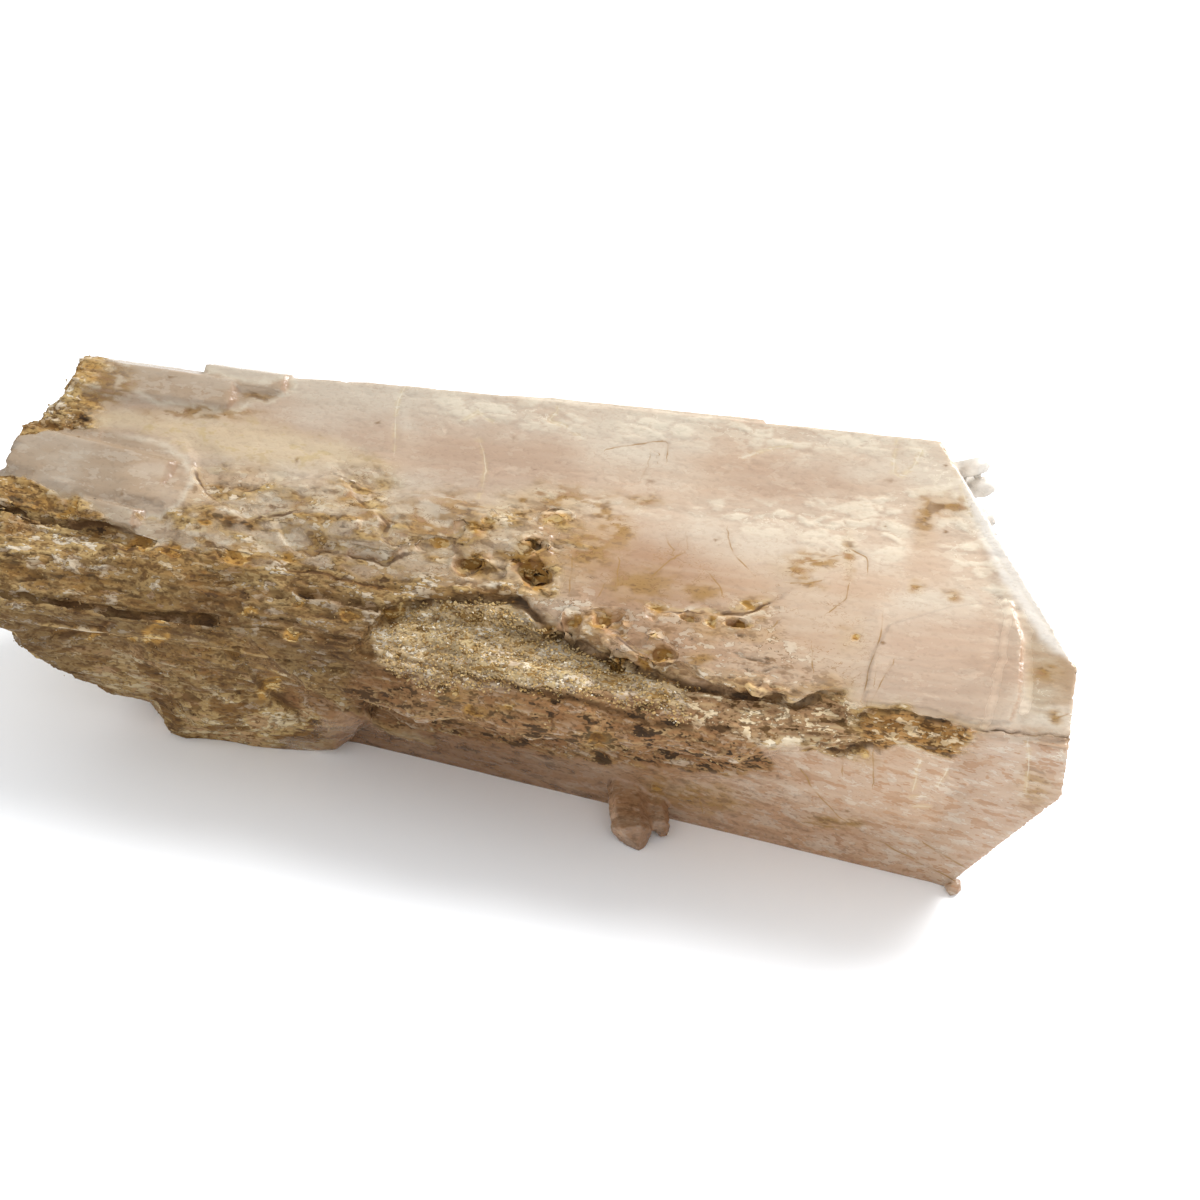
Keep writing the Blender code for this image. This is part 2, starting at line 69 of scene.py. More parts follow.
# The number of faces at the end, and how readily the unseen and the plain parts give way.
FACES_AT_MOST = 196000
UNSEEN_GIVES = 0.9
PLAIN_GIVES = 0.5
PLAIN_ABOVE = 560
DANBURITE_INDEX = 1.63
# How outlines wander: the size of the lumps in mm, how far in pixels, and the seed.
WANDER = ((6.0, 6.0, 3), (1.5, 4.0, 7), (0.7, 1.6, 13))
# How far beside a line the distance to it is kept, in pixels.
BESIDE = 20.0


def camera_ways():
    """The camera's forward, right and up."""
    a, e = CAMERA_TURN, CAMERA_TILT
    forward = np.array((-math.sin(a) * math.cos(e), math.cos(a) * math.cos(e), -math.sin(e)))
    right = np.array((math.cos(a), math.sin(a), 0.0))
    return forward, right, np.cross(right, forward)


def picture_place(points):
    """Where points of the drawing are in the picture, in pixels from its top left corner."""
    forward, right, up = camera_ways()
    away = points - CAMERA_AIM
    depth = CAMERA_AWAY + away @ forward
    scale = CAMERA_AWAY / MM_PER_PIXEL / depth
    middle = PICTURE / 2
    return np.stack((middle + (away @ right) * scale, middle - (away @ up) * scale), axis=1)


def mixed(value):
    """Well scrambled whole numbers."""
    value = (value ^ (value >> np.uint32(15))) * np.uint32(0x2C1B3C6D)
    value = (value ^ (value >> np.uint32(12))) * np.uint32(0x297A2D39)
    return value ^ (value >> np.uint32(15))


def chance(x, y, z, seed):
    """A number from 0 to 1 for each cell of a lattice, always the same for the same cell."""
    x, y, z = (place.astype(np.int64) for place in (x, y, z))
    cell = (x * 73856093) ^ (y * 19349663) ^ (z * 83492791)
    cell = (cell + seed * 2654435761) & 0xFFFFFFFF
    return (mixed(cell.astype(np.uint32)) & np.uint32(0xFFFF)).astype(np.float32) / 65535.0


def cloud(points, size, seed):
    """Smooth clouds from -1 to 1, with lumps of this size in mm."""
    q = points / np.asarray(size)
    low = np.floor(q)
    part = q - low
    part = part * part * (3.0 - 2.0 * part)
    total = 0.0
    for i, j, k in product((0, 1), repeat=3):
        weight = part[:, 0] if i else 1 - part[:, 0]
        weight = weight * (part[:, 1] if j else 1 - part[:, 1])
        weight = weight * (part[:, 2] if k else 1 - part[:, 2])
        total = total + weight * chance(low[:, 0] + i, low[:, 1] + j, low[:, 2] + k, seed)
    return total * 2.0 - 1.0


def clouds(points, size, seed, layers):
    """Clouds on clouds, each layer half the size and half the strength."""
    size = np.asarray(size, dtype=float)
    total, strength, full = 0.0, 1.0, 0.0
    for layer in range(layers):
        total = total + strength * cloud(points, size / 2 ** layer, seed + layer * 17)
        full += strength
        strength *= 0.5
    return total / full


def cells(points, size, seed):
    """The distance to the nearest and next cell centre, and a number for the nearest cell."""
    q = points / np.asarray(size)
    low = np.floor(q)
    first = np.full(len(q), 9.0)
    second = np.full(len(q), 9.0)
    owner = np.zeros(len(q))
    for i, j, k in product((-1, 0, 1), repeat=3):
        x, y, z = low[:, 0] + i, low[:, 1] + j, low[:, 2] + k
        dx = x + chance(x, y, z, seed) - q[:, 0]
        dy = y + chance(x, y, z, seed + 1) - q[:, 1]
        dz = z + chance(x, y, z, seed + 2) - q[:, 2]
        far = np.sqrt(dx * dx + dy * dy + dz * dz)
        nearer = far < first
        second = np.where(nearer, first, np.minimum(second, far))
        owner = np.where(nearer, chance(x, y, z, seed + 3), owner)
        first = np.where(nearer, far, first)
    return first, second, owner


def rise(value, low, high):
    """0 below low, 1 above high and smooth in between. It falls where low is above high."""
    part = np.clip((value - low) / (high - low), 0.0, 1.0)
    return part * part * (3.0 - 2.0 * part)


def most(*marks):
    """The strongest of some marks at each point."""
    return np.max(marks, axis=0)


def reach(places, line):
    """How far each place is from a line of corners, and on which side (left is positive)."""
    best = np.full(len(places), 1e9)
    side = np.ones(len(places))
    line = np.asarray(line, dtype=float)
    for a, b in zip(line, line[1:]):
        way = b - a
        along = np.clip(((places - a) @ way) / (way @ way), 0.0, 1.0)
        off = places - a - along[:, None] * way
        far = np.hypot(off[:, 0], off[:, 1])
        turn = way[0] * off[:, 1] - way[1] * off[:, 0]
        nearer = far < best
        best = np.where(nearer, far, best)
        side = np.where(nearer, np.where(turn > 0, -1.0, 1.0), side)
    return best, side


def inside(places, outline):
    """How far each place is inside an outline, in its own unit. It is negative outside."""
    outline = np.asarray(outline, dtype=float)
    enclosed = np.zeros(len(places), dtype=bool)
    for a, b in zip(outline, np.roll(outline, -1, axis=0)):
        crosses = (a[1] > places[:, 1]) != (b[1] > places[:, 1])
        rate = (b[0] - a[0]) / (b[1] - a[1] if b[1] != a[1] else 1e-9)
        enclosed ^= crosses & (places[:, 0] < rate * (places[:, 1] - a[1]) + a[0])
    far, _ = reach(places, np.vstack((outline, outline[:1])))
    return np.where(enclosed, far, -far)


def within(places, outline, soft):
    """1 inside an outline and 0 outside it, soft over this many pixels to both sides."""
    return rise(inside(places, outline), -soft, soft)


def lone_copy(node, name):
    """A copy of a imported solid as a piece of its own, with its corners merged."""
    bpy.ops.object.select_all(action="DESELECT")
    piece = node.copy()
    piece.data = node.data.copy()
    piece.name = name
    piece.data.name = name
    bpy.context.scene.collection.objects.link(piece)
    piece.select_set(True)
    bpy.context.view_layer.objects.active = piece
    bpy.ops.object.mode_set(mode="EDIT")
    bpy.ops.mesh.select_all(action="SELECT")
    bpy.ops.mesh.remove_doubles(threshold=1e-7)
    bpy.ops.object.mode_set(mode="OBJECT")
    return piece


def finish_step(piece, kind, **settings):
    """Add a modifier and apply it."""
    step = piece.modifiers.new(kind.lower(), kind)
    for key, value in settings.items():
        setattr(step, key, value)
    with bpy.context.temp_override(object=piece, active_object=piece):
        bpy.ops.object.modifier_apply(modifier=step.name)


def corners_of(piece):
    """The vertices of a piece in mm, in the drawing's frame."""
    flat = np.empty(len(piece.data.vertices) * 3)
    piece.data.vertices.foreach_get("co", flat)
    return flat.reshape(-1, 3) / MM - DRAWING_ZERO


def normals_of(piece):
    """The way each vertex of a piece faces."""
    flat = np.empty(len(piece.data.vertices) * 3)
    piece.data.vertices.foreach_get("normal", flat)
    return flat.reshape(-1, 3)


def set_corners(piece, points):
    """Move the vertices of a piece to these places in the drawing."""
    piece.data.vertices.foreach_set("co", ((points + DRAWING_ZERO) * MM).ravel())
    piece.data.update()


def box_in_drawing(box):
    """The low and the high corner of a box, in mm, in the drawing's frame."""
    return [np.array(corner) / MM - DRAWING_ZERO for corner in box]


def set_mark(piece, name, values):
    """Keep a value from 0 to 1 on each vertex for the material to read."""
    mark = piece.data.attributes.new(name, "FLOAT", "POINT")
    mark.data.foreach_set("value", np.clip(values, 0.0, 1.0).astype(np.float32))


def set_tint(piece, name, colours):
    """Keep a colour on each vertex."""
    tint = piece.data.attributes.new(name, "FLOAT_COLOR", "POINT")
    whole = np.ones((len(colours), 4), dtype=np.float32)
    whole[:, :3] = colours
    tint.data.foreach_set("color", whole.ravel())


def tone(red, green, blue):
    """A colour as read by eye, from 0 to 255, made linear."""
    linear = [((c / 255 + 0.055) / 1.055) ** 2.4 if c > 10 else c / 255 / 12.92
              for c in (red, green, blue)]
    return (*linear, 1.0)


PINK = tone(204, 179, 154)
PALE_PINK = tone(216, 203, 184)
CLEAR_PINK = tone(191, 164, 140)
WARM_PINK = tone(182, 142, 102)
WHITE_STONE = tone(238, 228, 206)
# Near white, for the frosted tip and the painted highlight on it.
FROST_AND_HIGHLIGHT = tone(244, 240, 232)
CREAM_STONE = tone(202, 172, 116)
LIGHT_CREAM = tone(218, 195, 144)
SOFT_CREAM = tone(226, 204, 168)
TAN = tone(150, 116, 64)
GREY = tone(150, 131, 100)
OCHRE = tone(122, 84, 34)
OLIVE = tone(162, 122, 60)
DARK_BROWN = tone(46, 29, 12)
BROWN = tone(80, 53, 23)
# The colour of painted shade, laid on where less light falls.
PAINTED_SHADE_BROWN = tone(80, 54, 24)
SHADED_PINK = tone(188, 149, 114)
DIM_PINK = tone(164, 124, 92)
LOWER_BROWN = tone(142, 104, 70)
RED_BROWN = tone(140, 98, 62)
DUSK = tone(80, 66, 38)
PEARL = tone(186, 162, 134)
RUST = tone(158, 112, 60)
SUGAR = tone(214, 190, 150)
GLASSY_GREY = tone(156, 137, 106)


def mixed_tone(first, second, share):
    """A colour part of the way from one to another."""
    return tuple(a + (b - a) * share for a, b in zip(first, second))


class Paint:
    """Three colours for each point: where the fine mottling is dark, middling and light."""

    def __init__(self, count, colour):
        self.tints = [np.tile(np.array(colour[:3]), (count, 1)) for _ in range(3)]

    def over(self, amount, dark, middle, light):
        """Lay colours over the ones below. None leaves a tint as it is."""
        for tint, colour in zip(self.tints, (dark, middle, light)):
            if colour is not None:
                tint += (np.array(colour[:3]) - tint) * np.asarray(amount)[..., None]

    def all_over(self, amount, colour):
        """Lay one colour over all three tints."""
        self.over(amount, colour, colour, colour)


# Where things are on the crystal, in pixels of the photograph. They are traced.
CRUST_EDGE = [(-60, 470), (30, 480), (75, 500), (103, 512), (134, 544), (170, 540), (215, 552),
    (260, 562), (300, 560), (340, 566), (390, 572), (430, 580), (470, 594), (514, 599), (545, 628),
    (600, 655), (655, 674), (714, 691), (765, 698), (800, 704), (845, 690), (862, 712), (900, 710),
    (957, 722), (985, 733), (955, 760), (907, 745), (850, 756), (820, 748), (780, 744), (740, 746),
    (700, 748), (640, 744), (560, 728), (500, 720), (440, 712), (400, 702), (360, 706), (330, 718),
    (300, 735), (200, 800), (-60, 740)]
# Where the crust is thin and patchy over clear crystal, with sugary broken ledges.
PATCHY_EDGE = [(90, 500), (170, 500), (205, 466), (260, 462), (300, 478), (350, 466), (395, 476),
    (400, 515), (440, 528), (470, 510), (500, 498), (575, 500), (600, 540), (580, 590), (520, 610),
    (440, 600), (380, 600), (300, 590), (200, 570)]
SUGARY_EDGE = [(500, 590), (560, 580), (620, 600), (690, 606), (770, 600), (800, 650), (845, 684),
    (800, 705), (740, 698), (660, 676), (600, 656), (545, 628)]
# The band between the crest of the druse and the face above it, darkened with painted shade below
# the undercut.
SHADED_DRUSE = [(514, 600), (545, 608), (575, 632), (625, 660), (660, 680), (600, 672), (540, 650),
    (500, 620)]
# The grey glassy band along the crest of the druse.
GLASSY_BAND = [(425, 634), (470, 638), (520, 648), (560, 662), (620, 676), (700, 696), (700, 708),
    (620, 694), (540, 684), (470, 668), (430, 660)]
# The fibrous fan at the right end of the seam, the whitish sliver at the tip, partly frosted and
# partly a painted highlight, and the wedge and the ridge at the left end of the druse.
FIBRES_EDGE = [(690, 690), (750, 694), (800, 700), (826, 690), (850, 690), (858, 716), (866, 748),
    (840, 756), (790, 738), (740, 736), (690, 722)]
FROSTY = [
    [(946, 440), (985, 468), (1012, 530), (1046, 612), (1078, 668), (1040, 640), (993, 565),
     (972, 508)],
    [(955, 440), (1000, 440), (1005, 540), (985, 540), (968, 500)],
]
WEDGE = [(236, 640), (262, 640), (297, 677), (344, 709), (330, 722), (290, 706), (262, 690)]
RIDGE = [(250, 638), (275, 658), (297, 675), (344, 707), (380, 724), (430, 742)]
# The dark band below the druse, the warm face above it, the mottled heel, and the rim of
# the tip with the face below it.
DARK_BAND = [(355, 664), (440, 674), (520, 686), (560, 684), (640, 692), (700, 716), (760, 740),
    (775, 772), (700, 774), (600, 764), (500, 746), (400, 728), (345, 712)]
WARM_ZONE = [(545, 520), (640, 535), (760, 560), (880, 600), (872, 702), (800, 702), (700, 690),
    (600, 640)]
MOTTLED_HEEL = [(60, 640), (160, 640), (215, 632), (262, 640), (300, 690), (345, 715), (330, 760),
    (200, 760), (100, 700)]
TIP_RIM = [(1022, 620), (1050, 640), (1078, 672), (1078, 800), (1030, 800), (1026, 700)]
BELOW_TIP = [(866, 752), (980, 738), (1090, 738), (1070, 830), (950, 900), (880, 850), (800, 790),
    (800, 750)]
# The druse and its edges, and the dirt and the hairline in the seam.
DRUSE_EDGE = [(395, 612), (421, 606), (470, 600), (514, 599), (545, 628), (575, 645), (617, 666),
    (683, 683), (760, 699), (797, 704), (850, 700), (860, 740), (800, 742), (740, 735), (680, 722),
    (600, 700), (520, 690), (430, 690), (380, 665), (370, 630)]
UNDERCUT = [(300, 590), (345, 600), (380, 607), (421, 606), (452, 600), (486, 601), (514, 599),
    (530, 611), (543, 626), (567, 641), (599, 655), (617, 666), (636, 669), (655, 674), (683, 683),
    (714, 691), (757, 698), (797, 704), (820, 696), (840, 692)]
CREST = [(400, 628), (421, 634), (458, 636), (486, 650), (505, 664), (540, 674), (580, 684)]
SEAM_CRUD = [(861, 717), (900, 713), (927, 715), (957, 725), (978, 731), (967, 743), (953, 757),
    (927, 750), (907, 740), (883, 750), (863, 747)]
SEAM_HAIR = [(975, 730), (1000, 733), (1023, 734), (1072, 736)]

# Broken ledges, drawn so that the lower side is on the right hand: corners and drop in mm.
LEDGES = [
    ([(196, 470), (205, 492), (222, 505), (250, 520), (266, 513), (290, 508)], 0.45),
    ([(270, 520), (278, 527), (287, 543), (306, 552), (322, 549), (338, 556), (359, 556),
      (387, 562), (405, 556), (421, 554), (442, 544), (452, 530)], 0.7),
    ([(215, 548), (237, 560), (262, 552), (290, 570), (330, 575), (380, 585)], 0.45),
    ([(347, 484), (360, 500), (375, 509), (389, 524), (380, 534), (392, 548)], 0.35),
    ([(100, 545), (125, 552), (160, 546), (187, 552), (215, 560)], 0.5),
    ([(60, 640), (110, 625), (160, 632), (215, 640), (240, 662), (262, 690), (300, 712)], 0.5),
    ([(598, 618), (606, 628), (625, 640), (640, 655), (660, 668)], 0.35),
    ([(648, 606), (662, 612), (690, 612), (720, 616), (745, 612), (765, 603)], 0.4),
]

# Crevices and dark seams: corners, half width in pixels and depth in mm.
CREVICES = [
    (UNDERCUT, 4.0, 1.0),
    ([(-40, 500), (0, 506), (37, 520), (75, 524), (106, 527), (137, 540)], 2.4, 0.7),
    ([(-40, 588), (0, 593), (47, 601), (125, 612), (175, 618), (206, 623)], 2.6, 0.7),
    (SEAM_HAIR, 1.2, 0.3),
    ([(250, 640), (275, 660), (297, 677), (344, 709), (370, 722)], 1.6, 0.35),
    ([(399, 657), (440, 668), (511, 685), (555, 694), (592, 704), (646, 722),
      (692, 727)], 3.0, 0.35),
    ([(862, 716), (873, 714), (900, 712), (927, 716), (953, 723)], 2.0, 0.5),
    ([(820, 742), (840, 752), (866, 746), (880, 752)], 2.4, 0.5),
]

# Pits: place, half width, half height and depth in mm. The first ones are also in the solid.
DEEP_PITS = 15
PITS = [
    (530, 545, 9, 6, 1.3), (474, 565, 13, 8, 1.0), (535, 577, 15, 13, 1.6), (521, 562, 7, 8, 1.0),
    (474, 526, 9, 7, 0.6), (489, 518, 5, 3, 0.6), (555, 518, 10, 4, 0.6), (574, 624, 8, 8, 1.2),
    (605, 620, 14, 7, 0.9), (549, 631, 7, 6, 1.0), (657, 610, 6, 5, 0.8), (656, 636, 4, 4, 0.8),
    (661, 654, 8, 5, 0.7), (646, 662, 7, 6, 0.8), (618, 664, 10, 5, 1.4), (684, 618, 5, 4, 0.7),
    (692, 620, 4, 4, 0.7), (711, 622, 4, 4, 0.8), (738, 622, 11, 4, 0.9), (156, 635, 12, 9, 0.5),
    (128, 639, 5, 4, 0.9), (92, 638, 5, 3, 0.8), (269, 687, 11, 8, 0.6), (237, 556, 14, 8, 0.6),
    (135, 545, 14, 6, 0.8), (172, 551, 12, 5, 0.8), (457, 696, 5, 6, 0.8), (474, 713, 9, 4, 0.5),
    (506, 708, 5, 3, 0.5), (599, 740, 8, 4, 0.8), (657, 788, 5, 3, 0.6), (868, 756, 3, 4, 0.4),
    (853, 638, 5, 6, 0.4), (747, 604, 6, 4, 0.4), (288, 556, 8, 4, 0.6), (62, 512, 9, 4, 0.5),
    (72, 508, 5, 3, 0.6), (300, 606, 5, 4, 0.6), (250, 612, 8, 5, 0.6), (294, 634, 7, 6, 0.8),
    (205, 520, 9, 4, 0.5), (440, 544, 8, 4, 0.7), (396, 610, 14, 4, 0.8), (352, 618, 9, 4, 0.6),
]

# Ochre stains: place, half width and half height.
STAINS = [
    (103, 374, 24, 17), (98, 396, 22, 8), (120, 380, 12, 14), (200, 415, 46, 4), (262, 398, 12, 3),
    (356, 492, 14, 9), (380, 487, 7, 9), (376, 515, 10, 9), (388, 526, 6, 10), (555, 520, 18, 8),
    (474, 528, 14, 11), (533, 560, 20, 22), (474, 562, 18, 12), (640, 500, 16, 6),
    (620, 530, 12, 14), (815, 562, 26, 7), (790, 572, 14, 6), (848, 556, 6, 16), (805, 584, 14, 5),
    (755, 606, 12, 10), (900, 726, 34, 12), (940, 735, 28, 14), (950, 510, 24, 8),
    (925, 520, 8, 16), (953, 592, 8, 4), (918, 585, 5, 4), (1046, 673, 12, 9), (1033, 790, 14, 14),
    (853, 829, 12, 3), (833, 825, 20, 3), (269, 687, 16, 11), (240, 650, 30, 16),
    (190, 660, 34, 12), (150, 600, 26, 9), (30, 505, 40, 8), (60, 515, 30, 6), (600, 622, 20, 12),
    (646, 658, 16, 8), (740, 622, 14, 5), (820, 692, 26, 6), (690, 795, 34, 8), (720, 805, 24, 6),
    (1052, 717, 6, 4), (700, 660, 14, 6), (750, 605, 10, 8), (237, 560, 26, 12), (300, 500, 10, 5),
    (310, 545, 12, 6), (20, 575, 30, 10), (90, 585, 26, 8), (428, 528, 36, 24), (455, 505, 26, 12),
    (590, 545, 24, 20), (640, 585, 28, 10), (560, 500, 30, 12), (605, 512, 12, 18),
    (700, 590, 18, 6), (520, 500, 18, 8),
]

# Hairline cracks in the clear faces: corners, and how they look. Some bright ones are painted
# glints.
DARK = -1
BRIGHT = 1
CRACKS = [
    ([(411, 379), (400, 398), (396, 412), (394, 451)], BRIGHT),
    ([(464, 419), (478, 412), (492, 422)], BRIGHT),
    ([(558, 407), (549, 419), (565, 426), (583, 438)], BRIGHT),
    ([(649, 457), (648, 466), (642, 476)], DARK), ([(667, 535), (670, 545), (674, 551)], DARK),
    ([(686, 538), (687, 550)], DARK), ([(727, 532), (731, 548), (736, 557), (752, 572)], DARK),
    ([(652, 576), (671, 560), (682, 554)], DARK),
    ([(705, 570), (711, 575), (720, 585), (722, 592)], DARK), ([(599, 594), (604, 586)], DARK),
    ([(572, 560), (571, 576), (570, 590)], DARK), ([(620, 560), (617, 572), (618, 580)], DARK),
    ([(897, 440), (894, 456), (893, 473), (900, 477), (912, 468), (922, 450)], BRIGHT),
    ([(940, 440), (958, 476), (973, 520), (1000, 560), (1040, 615), (1078, 670)], BRIGHT),
    ([(800, 562), (818, 560), (837, 556)], DARK), ([(847, 547), (868, 558), (868, 568)], DARK),
    ([(790, 583), (806, 584), (822, 580)], DARK), ([(848, 587), (846, 600), (830, 612)], DARK),
    ([(883, 617), (880, 640), (868, 672), (862, 700)], DARK),
    ([(893, 663), (880, 682), (873, 700)], DARK),
    ([(800, 770), (817, 793), (840, 817), (863, 833), (900, 852), (927, 867), (953, 880)], DARK),
    ([(807, 823), (833, 827), (860, 832)], DARK), ([(923, 843), (950, 860), (970, 870)], DARK),
    ([(873, 753), (873, 783)], DARK), ([(843, 753), (842, 772)], DARK),
    ([(920, 760), (913, 790)], BRIGHT), ([(948, 770), (938, 785)], BRIGHT),
    ([(912, 797), (925, 797)], BRIGHT), ([(914, 806), (930, 807)], BRIGHT),
    ([(700, 800), (703, 812)], DARK), ([(1027, 740), (1029, 770), (1026, 792)], BRIGHT),
    ([(770, 630), (778, 622)], DARK), ([(812, 650), (813, 668)], DARK),
    ([(1067, 715), (1056, 718)], DARK), ([(741, 458), (765, 450), (790, 446)], BRIGHT),
    ([(668, 444), (667, 456)], DARK), ([(480, 440), (486, 470), (478, 500)], BRIGHT),
    ([(610, 448), (640, 443), (664, 441)], DARK),
]

# Growth steps on the clear plate near the tip, the lower side on the right hand.
PLATE_STEPS = [
    ([(983, 729), (993, 700), (1000, 667), (1007, 617), (1003, 603)], 0.14),
    ([(1025, 712), (1028, 680), (1027, 633), (1018, 612)], 0.08),
    ([(862, 703), (868, 680), (880, 650), (884, 617)], -0.14),
    ([(900, 640), (960, 641), (1027, 645)], 0.06),
    ([(890, 659), (950, 662), (1027, 660)], 0.07),
    ([(900, 668), (960, 671), (1000, 669)], 0.05),
    ([(870, 697), (930, 696), (990, 699)], 0.06),
]

# Clear windows in the pink faces, and milky ones.
CLEAR = [
    [(865, 705), (882, 617), (1003, 603), (1027, 633), (1023, 712), (980, 731), (900, 712)],
    [(720, 470), (760, 458), (840, 470), (860, 498), (800, 515), (720, 505)],
    [(560, 545), (640, 548), (720, 575), (770, 600), (690, 606), (620, 600), (560, 570)],
    [(420, 420), (560, 425), (580, 470), (480, 500), (420, 480)],
    [(250, 425), (390, 420), (390, 450), (300, 452)],
    [(880, 760), (1020, 745), (1025, 800), (900, 830)],
]
MILKY = [
    [(430, 395), (560, 398), (590, 425), (520, 430), (450, 420)],
    [(610, 405), (880, 430), (890, 455), (620, 440)],
    [(600, 500), (760, 535), (900, 560), (940, 480), (860, 500), (700, 500)],
    [(900, 440), (940, 442), (1060, 665), (1050, 720), (1028, 715), (1028, 630), (950, 590),
     (930, 500)],
    [(1030, 735), (1070, 740), (1062, 795), (1030, 800)],
    [(640, 600), (760, 612), (850, 690), (700, 680)],
]
LOWER_FACE = [(190, 700), (330, 670), (430, 680), (560, 695), (700, 745), (860, 752), (980, 738),
    (1090, 738), (1070, 830), (950, 900), (640, 880), (180, 800)]
GROWN = [
    [(127, 362), (194, 363), (247, 381), (294, 381), (292, 391), (275, 399), (253, 399),
     (237, 412), (156, 402), (131, 387)],
    [(-40, 470), (0, 445), (19, 437), (47, 431), (103, 431), (156, 443), (184, 456), (194, 481),
     (181, 499), (156, 518), (134, 513), (103, 506), (75, 496), (31, 480)],
]
CREAM_BAND = [(41, 418), (125, 413), (160, 419), (250, 420), (330, 440), (390, 470), (300, 462),
    (200, 450), (120, 431), (45, 431)]


def facing_camera(points, normals):
    """How far each point faces the camera, from 0 to 1, and its place in the picture."""
    forward = camera_ways()[0]
    sight = CAMERA_AIM - forward * CAMERA_AWAY - points
    sight /= np.linalg.norm(sight, axis=1)[:, None]
    return rise((normals * sight).sum(axis=1), 0.02, 0.2), picture_place(points)


def around(places, line, margin):
    """Which places are in the box around a line, with this margin."""
    line = np.asarray(line, dtype=float)
    low, high = line.min(axis=0) - margin, line.max(axis=0) + margin
    return np.all((places > low) & (places < high), axis=1)


def near_line(places, line, width):
    """1 on a line and 0 beyond its width. Only places near the line are looked at."""
    close = around(places, line, width * 2)
    result = np.zeros(len(places))
    if close.any():
        far, _ = reach(places[close], line)
        result[close] = rise(far, width, width * 0.25)
    return result


def beside_lines(places, lines, width):
    """Where the nearest of some lines is: 0.5 on it, less or more beside it, and a mark near it."""
    best = np.full(len(places), 1e9)
    side = np.ones(len(places))
    for line in lines:
        close = around(places, line, BESIDE)
        if close.any():
            far, turn = reach(places[close], line)
            nearer = far < best[close]
            side[close] = np.where(nearer, turn, side[close])
            best[close] = np.where(nearer, far, best[close])
    return 0.5 + np.clip(best, 0.0, BESIDE) * side / (2 * BESIDE), rise(best, width * 1.6, width)


def drop_beside(places, line, drop, fade):
    """A step down on the right-hand side of a line, which fades out over this many pixels."""
    close = around(places, line, fade)
    depth = np.zeros(len(places))
    edge = np.zeros(len(places))
    if close.any():
        far, side = reach(places[close], line)
        signed = far * side
        depth[close] = rise(signed, -1.0, 1.5) * rise(far, fade, fade * 0.1) * drop
        edge[close] = rise(signed, 0.0, 1.5) * rise(far, 6.0, 2.0) * np.sign(drop)
    return depth, edge


def spot_mark(places, x, y, wide, high, outer, inner):
    """1 in the middle of a spot and 0 outside it."""
    off = (places - (x, y)) / (wide, high)
    return rise(np.hypot(off[:, 0], off[:, 1]), outer, inner)


def shelves(points, run, wander, seed):
    """Thin overlapping shelves whose lips face down: the height of each, its lip and its foot."""
    level = 1.5 * points[:, 2] / run + wander * clouds(points, (9.0, 3.0, 3.0), seed, 3)
    level += 0.35 * wander * clouds(points, (2.5, 0.8, 0.8), seed + 5, 2)
    part = level - np.floor(level)
    lip = rise(part, 0.0, 0.06) * rise(part, 0.3, 0.1)
    foot = rise(part, 0.72, 0.97)
    return (1.0 - part) * rise(part, 0.0, 0.05), lip, foot


def in_front(points):
    """1 on the front half of the crystal and 0 behind it."""
    return rise(0.795 * points[:, 1] - 0.574 * (points[:, 2] - CAMERA_AIM[2]), 5.0, 3.0)


def pit_share(points):
    """How much each point belongs to one of the pits of the solid or its rim."""
    spot = picture_place(points)
    share = np.zeros(len(points))
    for x, y, wide, high, depth in PITS[:DEEP_PITS]:
        share = most(share, spot_mark(spot, x, y, wide * 1.9, high * 2.1, 1.2, 0.7))
    return share * in_front(points)


def uneven_pits(points):
    """The pits of the solid made ragged: their walls are pushed about."""
    push = [0.75 * cloud(points, (1.6, 1.0, 1.0), seed) + 0.3 * cloud(points, 0.6, seed + 3)
            for seed in (201, 211, 221)]
    return points + np.stack(push, axis=1) * pit_share(points)[:, None]


